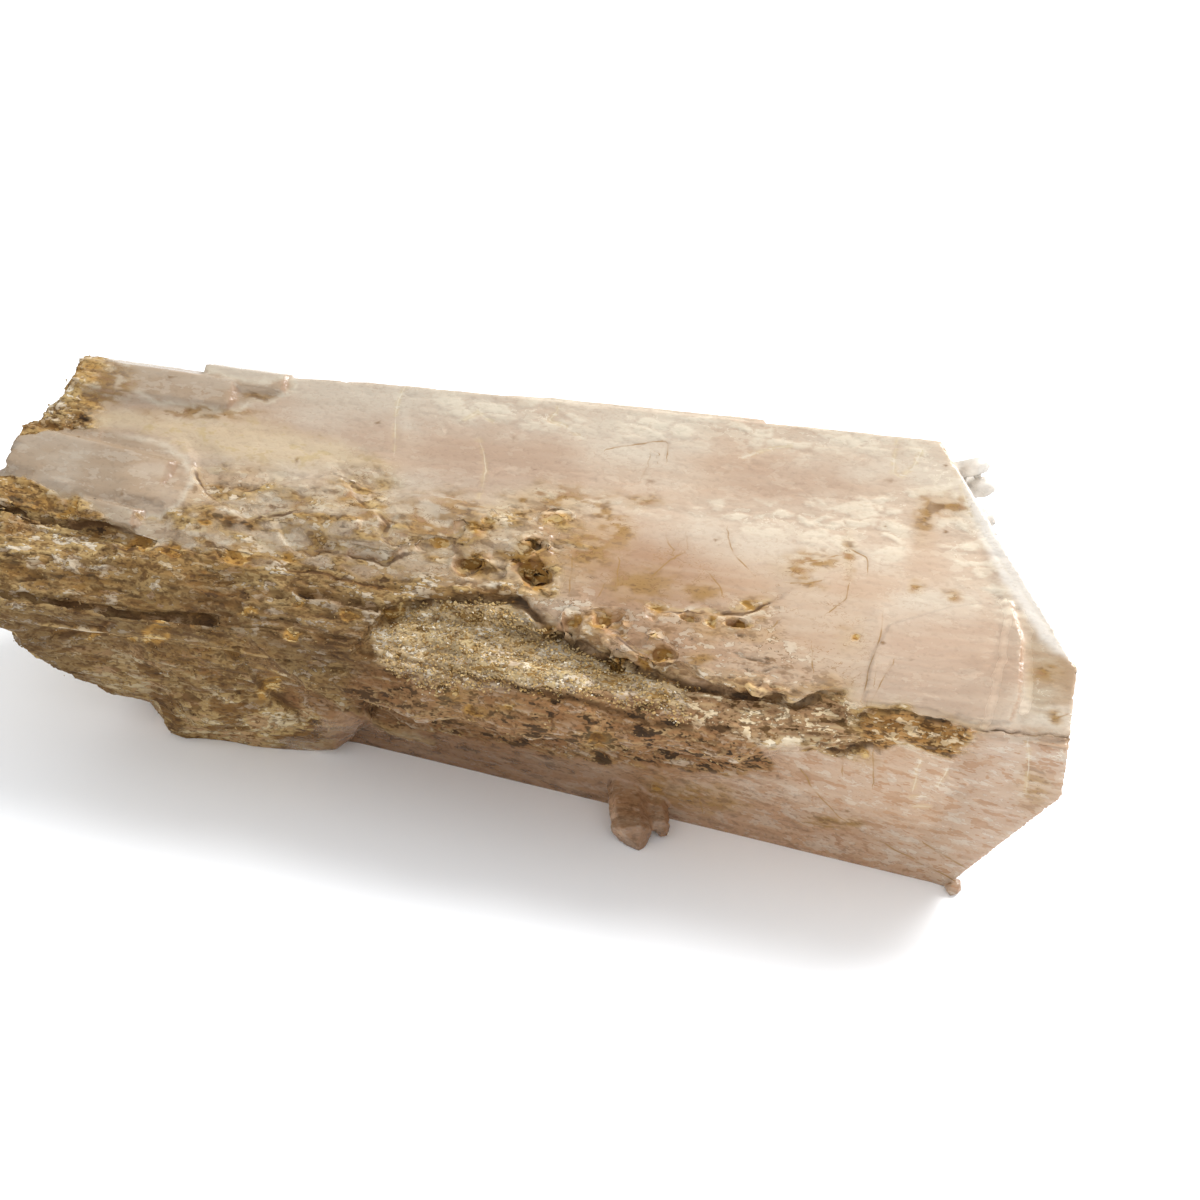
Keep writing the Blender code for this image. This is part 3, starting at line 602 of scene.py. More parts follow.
class Surface:
    """The crystal's skin at each point: what is there, how high it stands in mm and its colours.

    Places are pixels of the photograph. Marks run from 0, not there, to 1.
    """

    def __init__(self, points, normals):
        self.points, self.normals = points, normals
        self.seen, self.spot = facing_camera(points, normals)
        self.across, self.down = self.spot[:, 0], self.spot[:, 1]
        self.front_half = in_front(points)
        self.near_side = most(self.seen, self.front_half)
        self.broad, self.fine, self.tiny = (
            np.stack((cloud(points, size, seed), cloud(points, size, seed + 2)), axis=1) * pixels
            for size, pixels, seed in WANDER)
        self.ragged = self.spot + self.broad + self.fine + self.tiny
        self.close = self.spot + self.fine * 0.6 + self.tiny
        self.find_crust()
        self.raise_crust()
        self.cut_ledges()
        self.cut_pits()
        self.cut_cracks()
        self.find_clear_zones()

    def streaks(self, length, width, seed, layers):
        """Clouds drawn out along the crystal, with lumps of this size in mm."""
        return clouds(self.points, (length, width, width), seed, layers)

    def zone(self, outline, soft):
        """A zone with a ragged edge, where the camera sees it."""
        return within(self.ragged, outline, soft) * self.seen

    def near_zone(self, outline, soft):
        """A zone with a ragged edge, also where it turns away from the camera."""
        return within(self.ragged, outline, soft) * self.near_side

    def find_crust(self):
        """Where the grown crystals, the broken ledges, the crust and the druse are."""
        points = self.points
        self.grown = most(*(within(self.close, outline, 2.0) for outline in GROWN)) * self.seen
        self.patchy = self.near_zone(PATCHY_EDGE, 22.0)
        self.sugary = self.near_zone(SUGARY_EDGE, 16.0)
        self.broken = most(self.patchy, self.sugary)
        self.band = self.near_zone(DARK_BAND, 9.0)
        end = rise(points[:, 0] + 2.5 * cloud(points, 5.0, 11), -48, -57)
        self.cover = most(self.near_zone(CRUST_EDGE, 16.0), end, 0.5 * self.patchy, 0.85 * self.band)
        self.cover = self.cover * (1.0 - self.grown)
        self.crust = rise(self.cover + 0.55 * self.streaks(2.4, 0.9, 19, 3), 0.36, 0.78)
        self.clean = 1.0 - self.crust
        self.druse = self.near_zone(DRUSE_EDGE, 5.0)
        self.lower = within(self.spot + self.broad, LOWER_FACE, 14.0) * self.near_side
        self.lower = self.lower * (1 - self.druse)
        self.uneven = rise(self.streaks(3.0, 1.6, 25, 2), -0.35, 0.3)
        self.crumbs = self.streaks(1.6, 0.8, 57, 3)

    def raise_crust(self):
        """Lumps, splinters, shelves and grains on the crust, and faint lines on the clear faces."""
        points, crust, druse = self.points, self.crust, self.druse
        near, far, self.owner = cells(points, (1.0, 0.6, 0.6), 31)
        grains = np.clip(far - near, 0.0, 0.8)
        splinters = self.streaks(6.0, 0.5, 41, 3)
        self.lumps = self.streaks(6.0, 2.6, 47, 4)
        holes = rise(self.streaks(1.5, 0.6, 53, 3), 0.36, 0.56)
        big_shelf, big_lip, big_foot = shelves(points, 4.2, 2.2, 71)
        low_shelf, low_lip, low_foot = shelves(points, 1.1, 1.8, 83)
        shelf_share = (1.0 - 0.8 * druse) * rise(self.streaks(8.0, 3.0, 87, 2), -0.25, 0.25)
        relief = 0.42 * self.lumps + 0.2 * splinters + 0.34 * shelf_share * (big_shelf - 0.5)
        relief += 0.1 * (low_shelf - 0.5) - 0.22 * holes
        relief += (0.1 + 0.08 * druse) * (self.owner - 0.5) + 0.12 * druse * (grains - 0.4)
        self.relief = relief
        self.height = crust * relief * (0.45 + 0.55 * self.cover)
        crumbling = 0.2 * self.lumps + 0.14 * (self.owner - 0.5) - 0.25 * holes
        self.height += self.clean * self.broken * crumbling

        striation = self.streaks(40.0, 0.55, 61, 3)
        steps, _, _ = shelves(points, 6.0, 2.2, 91)
        dents = rise(self.streaks(1.8, 0.9, 67, 3), 0.2, 0.5)
        growth = 0.05 * (steps - 0.5) * (1 - self.grown)
        self.height += self.clean * (0.02 * striation - 0.1 * dents * self.lower + growth)

        # Painted shade in the holes and at the feet of the shelves, and a painted highlight on their
        # lips.
        foot = most(big_foot * shelf_share, 0.6 * low_foot)
        self.shaded_hollow = most(crust * most(0.6 * holes, 0.6 * foot), 0.6 * self.broken * holes)
        self.pale = crust * most(0.5 * big_lip * shelf_share, 0.3 * low_lip)

    def cut_ledges(self):
        """Ledges, growth steps and crevices, and the ragged lip over the druse."""
        self.ledge_shadow = np.zeros(len(self.points))
        for line, drop in LEDGES:
            # Each ledge gets a painted shadow on its lower side and a painted highlight along its
            # lip.
            depth, edge = drop_beside(self.ragged, line, drop, 42.0)
            self.height -= depth * self.seen
            self.ledge_shadow = most(self.ledge_shadow, np.clip(edge, 0, 1) * self.seen * self.uneven)
            self.pale = most(self.pale, near_line(self.ragged + (0, 5), line, 4.0) * self.seen * 0.5)
        for line, drop in PLATE_STEPS:
            depth, _ = drop_beside(self.close, line, drop, 24.0)
            self.height -= depth * self.seen
        # Crevices are cut in and painted dark with painted shade.
        for line, width, depth in CREVICES:
            mark = near_line(self.ragged * 0.35 + self.close * 0.65, line, width * 1.6)
            mark = mark * self.seen * (0.65 + 0.35 * self.uneven)
            self.height -= depth * mark * 0.8
            self.shaded_hollow = most(self.shaded_hollow, mark)

        above = [(x, y - 5) for x, y in UNDERCUT]
        self.overhang = near_line(self.ragged, above, 20.0) * self.front_half
        self.overhang *= 0.25 + 0.75 * rise(self.streaks(5.0, 3.0, 59, 2), -0.25, 0.25)
        lumpy = 0.7 * self.crumbs + 0.35 * cloud(self.points, (0.9, 0.6, 0.6), 58) + 0.1
        self.height += self.overhang * lumpy
        self.wedge = within(self.close, WEDGE, 4.0) * self.seen
        self.ridge = near_line(self.close, RIDGE, 6.0) * self.seen
        self.height += 0.35 * self.ridge
        crest = near_line(self.ragged, CREST, 15.0) * self.seen
        self.height += 0.45 * crest
        # The crest is raised and painted lighter: partly its own colour, partly a painted highlight.
        self.pale = most(self.pale, crest * (0.2 + 0.6 * (self.owner > 0.5)))

    def cut_pits(self):
        """Pits with stained rims, ochre stains and the dirt in the seam."""
        self.stain = np.zeros(len(self.points))
        self.pit = np.zeros(len(self.points))
        crooked = self.close + self.fine * 0.7 + self.tiny
        for x, y, wide, high, depth in PITS:
            mark = spot_mark(crooked, x, y, wide, high, 1.3, 0.2) * self.front_half
            self.height -= depth * mark * 0.45 * self.seen
            self.pit = most(self.pit, mark)
            rim = spot_mark(self.ragged, x, y, wide + 12, high + 9, 1.5, 0.2)
            self.stain = most(self.stain, rim * self.seen * 0.6)
        for x, y, wide, high in STAINS:
            blot = spot_mark(self.ragged, x, y, wide * 1.7, high * 1.8, 1.3, 0.0)
            self.stain = most(self.stain, blot * self.seen)
        self.crud = within(self.close, SEAM_CRUD, 2.0) * self.seen
        self.stain = most(self.stain, self.crud)
        self.height += self.crud * 0.4 * (self.owner - 0.2)

    def cut_cracks(self):
        """Hairline cracks, a little deeper than the face around them; some bright ones are painted
        glints.
        """
        self.dark_line = np.zeros(len(self.points))
        for line, kind in CRACKS:
            mark = near_line(self.spot + self.fine * 0.35, line, 3.0) * self.seen
            self.height -= 0.05 * mark
            if kind == BRIGHT:
                self.pale = most(self.pale, mark * 0.5)
            else:
                self.dark_line = most(self.dark_line, mark * 0.75)

    def find_clear_zones(self):
        """The clear, milky and warm faces, the tip's frost and painted highlight, and where the
        shade falls.
        """
        points = self.points
        self.clear = most(*(self.zone(outline, 24.0) for outline in CLEAR))
        self.milky = most(*(self.zone(outline, 14.0) for outline in MILKY))
        self.frost_and_highlight = most(*(within(self.spot + self.fine, outline, 5.0) for outline in FROSTY))
        self.frost_and_highlight *= rise(self.across, 880, 900)
        self.cream = self.zone(CREAM_BAND, 9.0)
        self.warm = self.zone(WARM_ZONE, 26.0)
        self.fibres = self.zone(FIBRES_EDGE, 5.0)
        self.below_tip = self.zone(BELOW_TIP, 22.0)
        self.mottled = self.near_zone(MOTTLED_HEEL, 22.0)
        # Painted shade: the lower face darker and browner towards the left.
        self.lower_face_shade = rise(self.across + 10 * self.broad[:, 0] / 6, 900, 430) * self.lower
        self.grown_rim_highlight = most(*(near_line(self.close, outline + outline[:1], 4.0) * self.seen
                                for outline in GROWN))

        warp = [strength * cloud(points, size, seed)
                for strength, size, seed in ((1.2, 2.2, 95), (0.5, 1.5, 96), (0.5, 1.5, 97))]
        near, far, pick = cells(points + np.stack(warp, axis=1), (3.6, 1.0, 1.0), 98)
        self.veil = rise(far - near, 0.05, 0.16) * (pick > 0.5) * self.milky
        self.height += 0.05 * self.veil * self.clean

        # Painted shade: darker towards the left end and the bottom, further from the light.
        self.shade = rise(self.across + 0.5 * (650 - self.down) + 60 * self.lumps, 760, 260)
        lit = (1 - 0.75 * self.druse) * (1 - 0.2 * self.mottled) * (1 - 0.4 * self.lower)
        self.shade *= lit * self.seen
        self.shade *= 0.22 + 0.78 * rise(self.down + 0.05 * self.across, 480, 640)
        self.wide = self.streaks(14.0, 5.0, 301, 3)
        self.mid = self.streaks(4.5, 1.7, 311, 3)
        self.silk = rise(self.streaks(14.0, 0.5, 321, 2), -0.1, 0.45)

    def tints(self):
        """The dark, middle and light colour of each point, and the colour of its veins."""
        paint = Paint(len(self.points), PINK)
        self.paint_faces(paint)
        self.paint_crust(paint)
        self.paint_ledges(paint)
        self.paint_marks(paint)
        veins = Paint(len(self.points), DIM_PINK)
        veins.all_over(self.milky, WHITE_STONE)
        veins.all_over(0.6 * self.warm, OLIVE)
        veins.all_over(most(self.broken, self.stain), OCHRE)
        veins.all_over(self.crust, DARK_BROWN)
        return paint.tints + veins.tints[:1]

    def paint_faces(self, paint):
        """The clear, warm and milky faces, the grown crystals and the lower face."""
        mid, lower, below_tip, grown = self.mid, self.lower, self.below_tip, self.grown
        paint.all_over(rise(self.wide, -0.3, 0.3), PALE_PINK)
        paint.all_over(0.85 * self.clear, CLEAR_PINK)
        paint.all_over(0.35 * self.milky, PALE_PINK)
        paint.all_over(0.65 * self.veil, WHITE_STONE)
        paint.over(0.12 + 0.14 * self.milky, CLEAR_PINK, None, WHITE_STONE)
        paint.over(0.8 * self.cream, LIGHT_CREAM, SOFT_CREAM, SOFT_CREAM)
        paint.over(0.7 * self.cover, CREAM_STONE, CREAM_STONE, LIGHT_CREAM)
        paint.over(self.broken * (0.25 + 0.4 * rise(mid, 0.1, -0.4)), OCHRE, None, WHITE_STONE)
        paint.over(self.broken * rise(mid, 0.12, 0.5) * 0.6, OLIVE, CREAM_STONE, LIGHT_CREAM)
        paint.all_over(0.45 * self.warm, WARM_PINK)
        paint.all_over(0.6 * self.warm * rise(self.across, 760, 660), DIM_PINK)
        paint.all_over(0.5 * self.zone(TIP_RIM, 8.0) * rise(mid, -0.3, 0.1), TAN)
        paint.over(0.3 * self.sugary, OCHRE, WARM_PINK, WHITE_STONE)
        # The lower face, which faces down, is laid in shaded pinks: painted shade.
        paint.over(lower, mixed_tone(DIM_PINK, SHADED_PINK, 0.5), SHADED_PINK,
                   mixed_tone(SHADED_PINK, PALE_PINK, 0.4))
        paint.over(self.lower_face_shade * (0.8 + 0.2 * mid), BROWN, LOWER_BROWN, LOWER_BROWN)
        paint.over(0.4 * lower * (1 - self.lower_face_shade) * rise(mid, 0.0, 0.5),
                   None, PALE_PINK, PALE_PINK)
        paint.over(0.7 * below_tip, SHADED_PINK, PINK, mixed_tone(PINK, PALE_PINK, 0.7))
        paint.all_over(0.4 * below_tip * rise(mid, -0.1, -0.4), SHADED_PINK)
        paint.over(0.88 * grown, PEARL, PEARL, mixed_tone(PEARL, PALE_PINK, 0.4))
        paint.all_over(0.4 * grown * rise(mid, 0.0, 0.35), PALE_PINK)
        paint.all_over(0.1 * self.silk * self.clean, WHITE_STONE)
        # A painted highlight along the rims of the grown crystals.
        paint.all_over(0.6 * self.grown_rim_highlight * rise(self.across, 100, 150), WHITE_STONE)
        specks = lower * rise(self.crumbs, -0.1, -0.45) * rise(self.across, 1000, 880)
        paint.over(0.35 * specks * rise(self.across, 900, 600), DARK_BROWN, BROWN, None)

    def paint_crust(self, paint):
        """The crust, the druse with its glassy band and fan, and the mottled heel."""
        crust, mottled = self.crust, self.mottled
        level = rise(0.5 + 0.8 * self.relief + 0.75 * self.mid, 0.0, 1.0)
        glassy = within(self.ragged, GLASSY_BAND, 5.0)
        fan = crust * self.fibres
        paint.over(crust, DARK_BROWN, OCHRE, TAN)
        # The crust is lighter where it stands higher: partly its own colour, partly painted light on
        # its lumps and shade between them.
        paint.over(crust * level, TAN, CREAM_STONE, WHITE_STONE)
        paint.over(crust * rise(self.wide, 0.1, 0.4) * 0.4, OCHRE, OLIVE, CREAM_STONE)
        paint.over(crust * self.druse * 0.85, TAN, SUGAR, WHITE_STONE)
        paint.over(0.75 * crust * glassy, TAN, GLASSY_GREY, PEARL)
        paint.over(0.85 * self.band * (1 - glassy), DARK_BROWN, RED_BROWN, LOWER_BROWN)
        paint.over(fan * (1 - self.silk) * 0.85, BROWN, LOWER_BROWN, SUGAR)
        paint.over(fan * self.silk * 0.7, LOWER_BROWN, GLASSY_GREY, SUGAR)
        blotches = self.streaks(2.6, 1.3, 141, 3)
        paint.over(0.55 * mottled, TAN, CREAM_STONE, LIGHT_CREAM)
        paint.over(0.9 * mottled * rise(blotches, 0.08, 0.16), BROWN, OCHRE, OCHRE)
        paint.over(0.6 * mottled * rise(blotches, -0.1, -0.3), RED_BROWN, SHADED_PINK, LIGHT_CREAM)

    def paint_ledges(self, paint):
        """The lip over the druse, the wedge and ridge at its left, stains and the shade."""
        ragged_lip = self.overhang * (1 - 0.8 * self.druse)
        paint.over(0.8 * ragged_lip * rise(self.crumbs, 0.3, -0.1), BROWN, OCHRE, TAN)
        paint.over(0.7 * ragged_lip * rise(self.crumbs, -0.1, 0.3),
                   TAN, CREAM_STONE, WHITE_STONE)
        paint.all_over(0.8 * self.wedge, RED_BROWN)
        paint.over(0.5 * self.ridge, TAN, CREAM_STONE, LIGHT_CREAM)
        paint.all_over(0.3 * self.stain, CREAM_STONE)
        flecks = self.streaks(1.2, 0.5, 63, 2)
        paint.over(0.9 * self.stain * rise(flecks + 0.5 * self.stain, 0.18, 0.4), OCHRE, OLIVE, RUST)
        paint.over(0.7 * self.crud, BROWN, RUST, SUGAR)
        # Painted highlights on lips, ledges and crests, and pale cracks.
        paint.over(0.75 * self.pale, None, LIGHT_CREAM, WHITE_STONE)
        # Painted shade in the band below the undercut.
        paint.all_over(0.45 * self.zone(SHADED_DRUSE, 7.0), DUSK)
        # Painted shade over the left and the lower parts.
        paint.all_over(0.66 * self.shade, PAINTED_SHADE_BROWN)
        # Painted shade along the lower edge of the crust at the left.
        low_crust_shade = self.crust * (1 - self.mottled) * self.seen
        low_crust_shade *= rise(self.down, 590, 625) * rise(self.across, 420, 340)
        paint.all_over(0.3 * low_crust_shade, PAINTED_SHADE_BROWN)

    def paint_marks(self, paint):
        """Specks, cracks, pits, painted shade at ledges, hollows and lit walls, and frost and
        painted highlight.
        """
        near, _, pick = cells(self.points, (2.4, 1.6, 1.6), 131)
        paint.all_over(0.8 * rise(near, 0.12, 0.07) * (pick > 0.6) * self.seen, OCHRE)
        paint.all_over(0.2 * self.dark_line * self.uneven, OCHRE)
        # A painted shadow in ochre below each ledge.
        paint.over(0.8 * self.ledge_shadow, BROWN, OCHRE, OCHRE)
        # Painted shade in the hollows and crevices.
        paint.over(0.9 * self.shaded_hollow, DARK_BROWN, BROWN, OCHRE)
        paint.over(rise(self.pit, 0.02, 0.35), OCHRE, OLIVE, CREAM_STONE)
        paint.all_over(0.6 * rise(self.pit, 0.5, 1.0) * rise(self.mid, 0.0, 0.2), BROWN)
        # Painted shade: walls that face the key light are darkened.
        walls = rise(self.normals[:, 0], 0.2, 0.5) * self.seen * rise(self.across, 1040, 1030)
        paint.all_over(0.5 * walls * self.clean, DIM_PINK)
        # The whitish tip: partly frosted, partly a painted highlight.
        paint.all_over(0.8 * self.frost_and_highlight, FROST_AND_HIGHLIGHT)

    def material_marks(self):
        """The marks that the material reads."""
        seen, uneven = self.seen, self.uneven
        places = self.spot + self.fine * 0.35
        bright = [line for line, kind in CRACKS if kind == BRIGHT]
        crack_side, near_crack = beside_lines(places, [line for line, kind in CRACKS], 5.0)
        _, near_pale = beside_lines(places, bright, 5.0)
        # Painted shadow lines along the ledges and the crust's dark crevices.
        dark_edges = [line for line, drop in LEDGES] + [crevice[0] for crevice in CREVICES[1:3]]
        ledge_side, near_ledge = beside_lines(self.close, dark_edges, 6.0)
        gaps = 0.15 + 0.85 * rise(cloud(self.points, 1.0, 341), -0.5, 0.3)
        lip = most(*(near_line(self.close, line, 7.0) * seen
                     for line, drop in LEDGES + PLATE_STEPS[:2]))
        vein = most(0.8 * self.milky, 0.75 * self.broken, 0.8 * self.stain, 0.6 * self.crust,
                    0.55 * self.warm, 0.2 * self.clean, 0.5 * self.lower)
        return {
            "vein": vein * (1 - 0.6 * self.grown) * (0.4 + 0.6 * uneven),
            "crack_side": crack_side,
            "pale_crack_and_glint": 0.4 * near_pale * seen * gaps,
            "dark_crack": 0.75 * near_crack * (1 - near_pale) * seen * gaps,
            "ledge_side": ledge_side,
            "ledge": near_ledge * seen * uneven,
            "opaque": most(self.crust, self.band, 0.8 * self.wedge, 0.45 * lip, self.shaded_hollow,
                           0.8 * self.overhang, 0.8 * pit_share(self.points),
                           rise(self.pit, 0.0, 0.3)),
            "rugged": most(self.crust, self.band, self.overhang, 0.3 * self.broken,
                           0.14 + 0.3 * self.lower * (1 - self.below_tip)),
        }

    def plain(self):
        """The clean faces above the seam, which have no fine detail to lose."""
        bare = self.clean * (1 - self.broken) * (1 - most(self.stain, self.pit))
        return bare * (1 - self.milky) * (self.down < PLAIN_ABOVE) > 0.5


def remeshed(node):
    """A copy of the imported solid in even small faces, longer along the crystal."""
    piece = lone_copy(node, "danburite")
    stretch = Matrix.Diagonal((SQUEEZE, 1.0, 1.0, 1.0))
    piece.data.transform(stretch)
    cell = CELL
    finish_step(piece, "REMESH", mode="VOXEL", voxel_size=cell * MM)
    piece.data.transform(stretch.inverted())
    finish_step(piece, "SHRINKWRAP", target=node, wrap_method="NEAREST_SURFACEPOINT")
    return piece


def weigh(piece, name, shares):
    """A vertex group with these weights: pairs of which vertices and how much."""
    group = piece.vertex_groups.new(name=name)
    for chosen, weight in shares:
        group.add([int(i) for i in np.nonzero(chosen)[0]], weight, "REPLACE")


def crystal_surface(node, box):
    """The whole crystal with its surface worked over."""
    piece = remeshed(node)
    share = pit_share(corners_of(piece))
    weigh(piece, "pits", [((share > level - 0.25) & (share <= level), level)
                          for level in (0.25, 0.5, 0.75, 1.0)])
    finish_step(piece, "SMOOTH", factor=0.6, iterations=PIT_SMOOTHING, vertex_group="pits")
    points = uneven_pits(corners_of(piece))
    set_corners(piece, points)
    normals = normals_of(piece)
    surface = Surface(points, normals)
    height = np.clip(surface.height, DEEPEST, HIGHEST) * rise(points[:, 2], 0.15, 0.8)
    points = points + normals * height[:, None]
    points[:, 2] = np.maximum(points[:, 2], 0.0)
    set_corners(piece, points)
    for name, values in surface.material_marks().items():
        set_mark(piece, name, values)
    names = ("dark_tint", "middle_tint", "light_tint", "vein_tint")
    for name, tint in zip(names, surface.tints()):
        set_tint(piece, name, tint)

    grains_on(points, normals_of(piece), surface, box)
    seen, _ = facing_camera(points, normals)
    unseen = seen < 0.05
    weigh(piece, "gives_way", [(unseen, UNSEEN_GIVES), (~unseen & surface.plain(), PLAIN_GIVES)])
    with bpy.context.temp_override(
            object=piece, active_object=piece, selected_editable_objects=[piece]):
        bpy.ops.object.shade_smooth()
    faces = 2 * len(piece.data.polygons)
    if faces > FACES_AT_MOST:
        finish_step(piece, "DECIMATE", ratio=FACES_AT_MOST / faces, vertex_group="gives_way")
    piece.vertex_groups.clear()
    low, high = box
    set_corners(piece, np.clip(corners_of(piece), low + (0.01, 0.01, 0.0), high - 0.01))
    piece.data.materials.clear()
    piece.data.materials.append(crystal_finish())
    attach(piece, "root")
    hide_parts("danburite_crystal")
    return piece


def put(node, key, value):
    """Set an input of a node to a plain value, or link a socket to it."""
    if isinstance(value, bpy.types.NodeSocket):
        node.id_data.links.new(value, node.inputs[key])
    else:
        node.inputs[key].default_value = value


class Wires:
    """A short way to lay out a material's nodes."""

    # The colour sockets of a Mix node go by number, because names in it occur twice.
    FIRST_COLOUR, SECOND_COLOUR, MIXED_COLOUR = 6, 7, 2

    def __init__(self, name):
        self.material = bpy.data.materials.new(name)
        self.material.use_nodes = True
        self.tree = self.material.node_tree
        self.shader = self.tree.nodes["Principled BSDF"]
        self.output = self.tree.nodes["Material Output"]
        self.place = self.add("TexCoord").outputs["Object"]

    def add(self, kind):
        return self.tree.nodes.new("ShaderNode" + kind)

    def stored(self, name, output):
        """What is kept under this name on each vertex."""
        node = self.add("Attribute")
        node.attribute_name = name
        return node.outputs[output]

    def mark(self, name):
        return self.stored(name, "Fac")

    def tint(self, name):
        return self.stored(name, "Color")

    def noise(self, size_mm, detail, rough, stretch):
        """Clouds of this size, drawn out by stretch."""
        mapping = self.add("Mapping")
        put(mapping, "Vector", self.place)
        put(mapping, "Scale", [1.0 / (size_mm * MM * s) for s in stretch])
        node = self.add("TexNoise")
        put(node, "Vector", mapping.outputs["Vector"])
        put(node, "Scale", 1.0)
        put(node, "Detail", detail)
        put(node, "Roughness", rough)
        return node.outputs["Fac"]

    def steps(self, value, stops):
        """A colour that runs through these stops."""
        node = self.add("ValToRGB")
        ramp = node.color_ramp
        while len(ramp.elements) < len(stops):
            ramp.elements.new(0.5)
        for element, (place, colour) in zip(ramp.elements, stops):
            element.position = place
            element.color = colour
        put(node, "Fac", value)
        return node.outputs["Color"]

    def ramp(self, value, low, high, to_low=0.0, to_high=1.0):
        """A value that runs smoothly from one number to another between low and high."""
        node = self.add("MapRange")
        node.interpolation_type = "SMOOTHSTEP"
        put(node, "Value", value)
        for key, number in zip(("From Min", "From Max", "To Min", "To Max"),
                               (low, high, to_low, to_high)):
            put(node, key, number)
        return node.outputs["Result"]

    def maths(self, operation, a, b):
        node = self.add("Math")
        node.operation = operation
        put(node, 0, a)
        put(node, 1, b)
        return node.outputs["Value"]

    def times(self, a, b):
        return self.maths("MULTIPLY", a, b)

    def on_line(self, value, middle, width):
        """1 where a value crosses the middle and 0 beyond this width."""
        away = self.maths("ABSOLUTE", self.maths("SUBTRACT", value, middle), 0.0)
        return self.ramp(away, width, width * 0.4)

    def blend(self, amount, a, b):
        """From colour a to colour b."""
        node = self.add("Mix")
        node.data_type = "RGBA"
        put(node, "Factor", amount)
        put(node, self.FIRST_COLOUR, a)
        put(node, self.SECOND_COLOUR, b)
        return node.outputs[self.MIXED_COLOUR]

    def bump(self, height, strength, distance_mm):
        """Small unevenness that only the light sees."""
        node = self.add("Bump")
        put(node, "Strength", strength)
        put(node, "Distance", distance_mm * MM)
        put(node, "Height", height)
        return node.outputs["Normal"]


def crystal_finish():
    """Mottled pink stone with veins, cracks and ledges, see-through where it is clear."""
    w = Wires("danburite")
    small = w.noise(1.25, 3.0, 0.72, (2.1, 1.0, 1.0))
    colour = w.blend(w.ramp(small, 0.4, 0.45), w.tint("dark_tint"), w.tint("middle_tint"))
    colour = w.blend(w.ramp(small, 0.545, 0.575), colour, w.tint("light_tint"))
    vein = w.times(w.on_line(small, 0.555, 0.012), w.mark("vein"))
    colour = w.blend(vein, colour, w.tint("vein_tint"))
    crack = w.on_line(w.mark("crack_side"), 0.5, 0.024)
    colour = w.blend(w.times(crack, w.mark("dark_crack")), colour, OLIVE)
    # Pale cracks and painted glints in white.
    colour = w.blend(w.times(crack, w.mark("pale_crack_and_glint")), colour, WHITE_STONE)
    # A painted shadow line in brown along the ledges and crevices.
    ledge = w.times(w.on_line(w.mark("ledge_side"), 0.5, 0.05), w.mark("ledge"))
    colour = w.blend(w.times(ledge, 0.8), colour, BROWN)
    opaque, rugged = w.mark("opaque"), w.mark("rugged")
    grit = w.noise(0.4, 1.0, 0.6, (1.6, 1.0, 1.0))
    # Darker brown where the grit is low, the same grit that gives the bump: partly grainy colour,
    # partly painted shade in its pits.
    colour = w.blend(w.times(rugged, w.ramp(grit, 0.46, 0.34, 0.0, 0.6)), colour, BROWN)
    put(w.shader, "Base Color", colour)
    put(w.shader, "Transmission Weight", w.ramp(opaque, 0.0, 0.8, 0.38, 0.0))
    put(w.shader, "Roughness", w.ramp(opaque, 0.0, 1.0, 0.2, 0.8))
    put(w.shader, "Normal", w.bump(w.times(grit, rugged), 0.9, 0.22))
    put(w.shader, "IOR", DANBURITE_INDEX)
    put(w.shader, "Specular IOR Level", 0.22)

    depth = w.add("VolumeAbsorption")
    put(depth, "Color", tone(255, 232, 212))
    put(depth, "Density", 14.0)
    put(w.output, "Volume", depth.outputs["Volume"])
    return w.material


def grain_finish():
    """Small grains, each its own shade from brown to glassy white."""
    w = Wires("grains")
    shade = w.steps(w.mark("shade"), ((0.0, OCHRE), (0.3, TAN), (0.6, CREAM_STONE),
                                      (0.8, GREY), (1.0, WHITE_STONE)))
    # Painted shade on the grains, as on the crystal's surface below them.
    shade = w.blend(w.times(w.mark("painted_shade"), 0.6), shade, PAINTED_SHADE_BROWN)
    put(w.shader, "Base Color", shade)
    put(w.shader, "Roughness", 0.35)
    put(w.shader, "IOR", DANBURITE_INDEX)
    put(w.shader, "Specular IOR Level", 0.3)
    return w.material


def grain_shape():
    """The corners and faces of one grain, modelled once: a stubby prism with a blunt end."""
    bpy.ops.object.select_all(action="DESELECT")
    bpy.ops.mesh.primitive_cone_add(
        vertices=5, radius1=0.5, radius2=0.26, depth=1.0, end_fill_type="NGON")
    grain = bpy.context.object
    bpy.ops.object.mode_set(mode="EDIT")
    bpy.ops.mesh.quads_convert_to_tris()
    bpy.ops.object.mode_set(mode="OBJECT")
    corners = np.array([v.co[:] for v in grain.data.vertices])
    faces = np.array([p.vertices[:] for p in grain.data.polygons])
    bpy.data.objects.remove(grain)
    return corners, faces


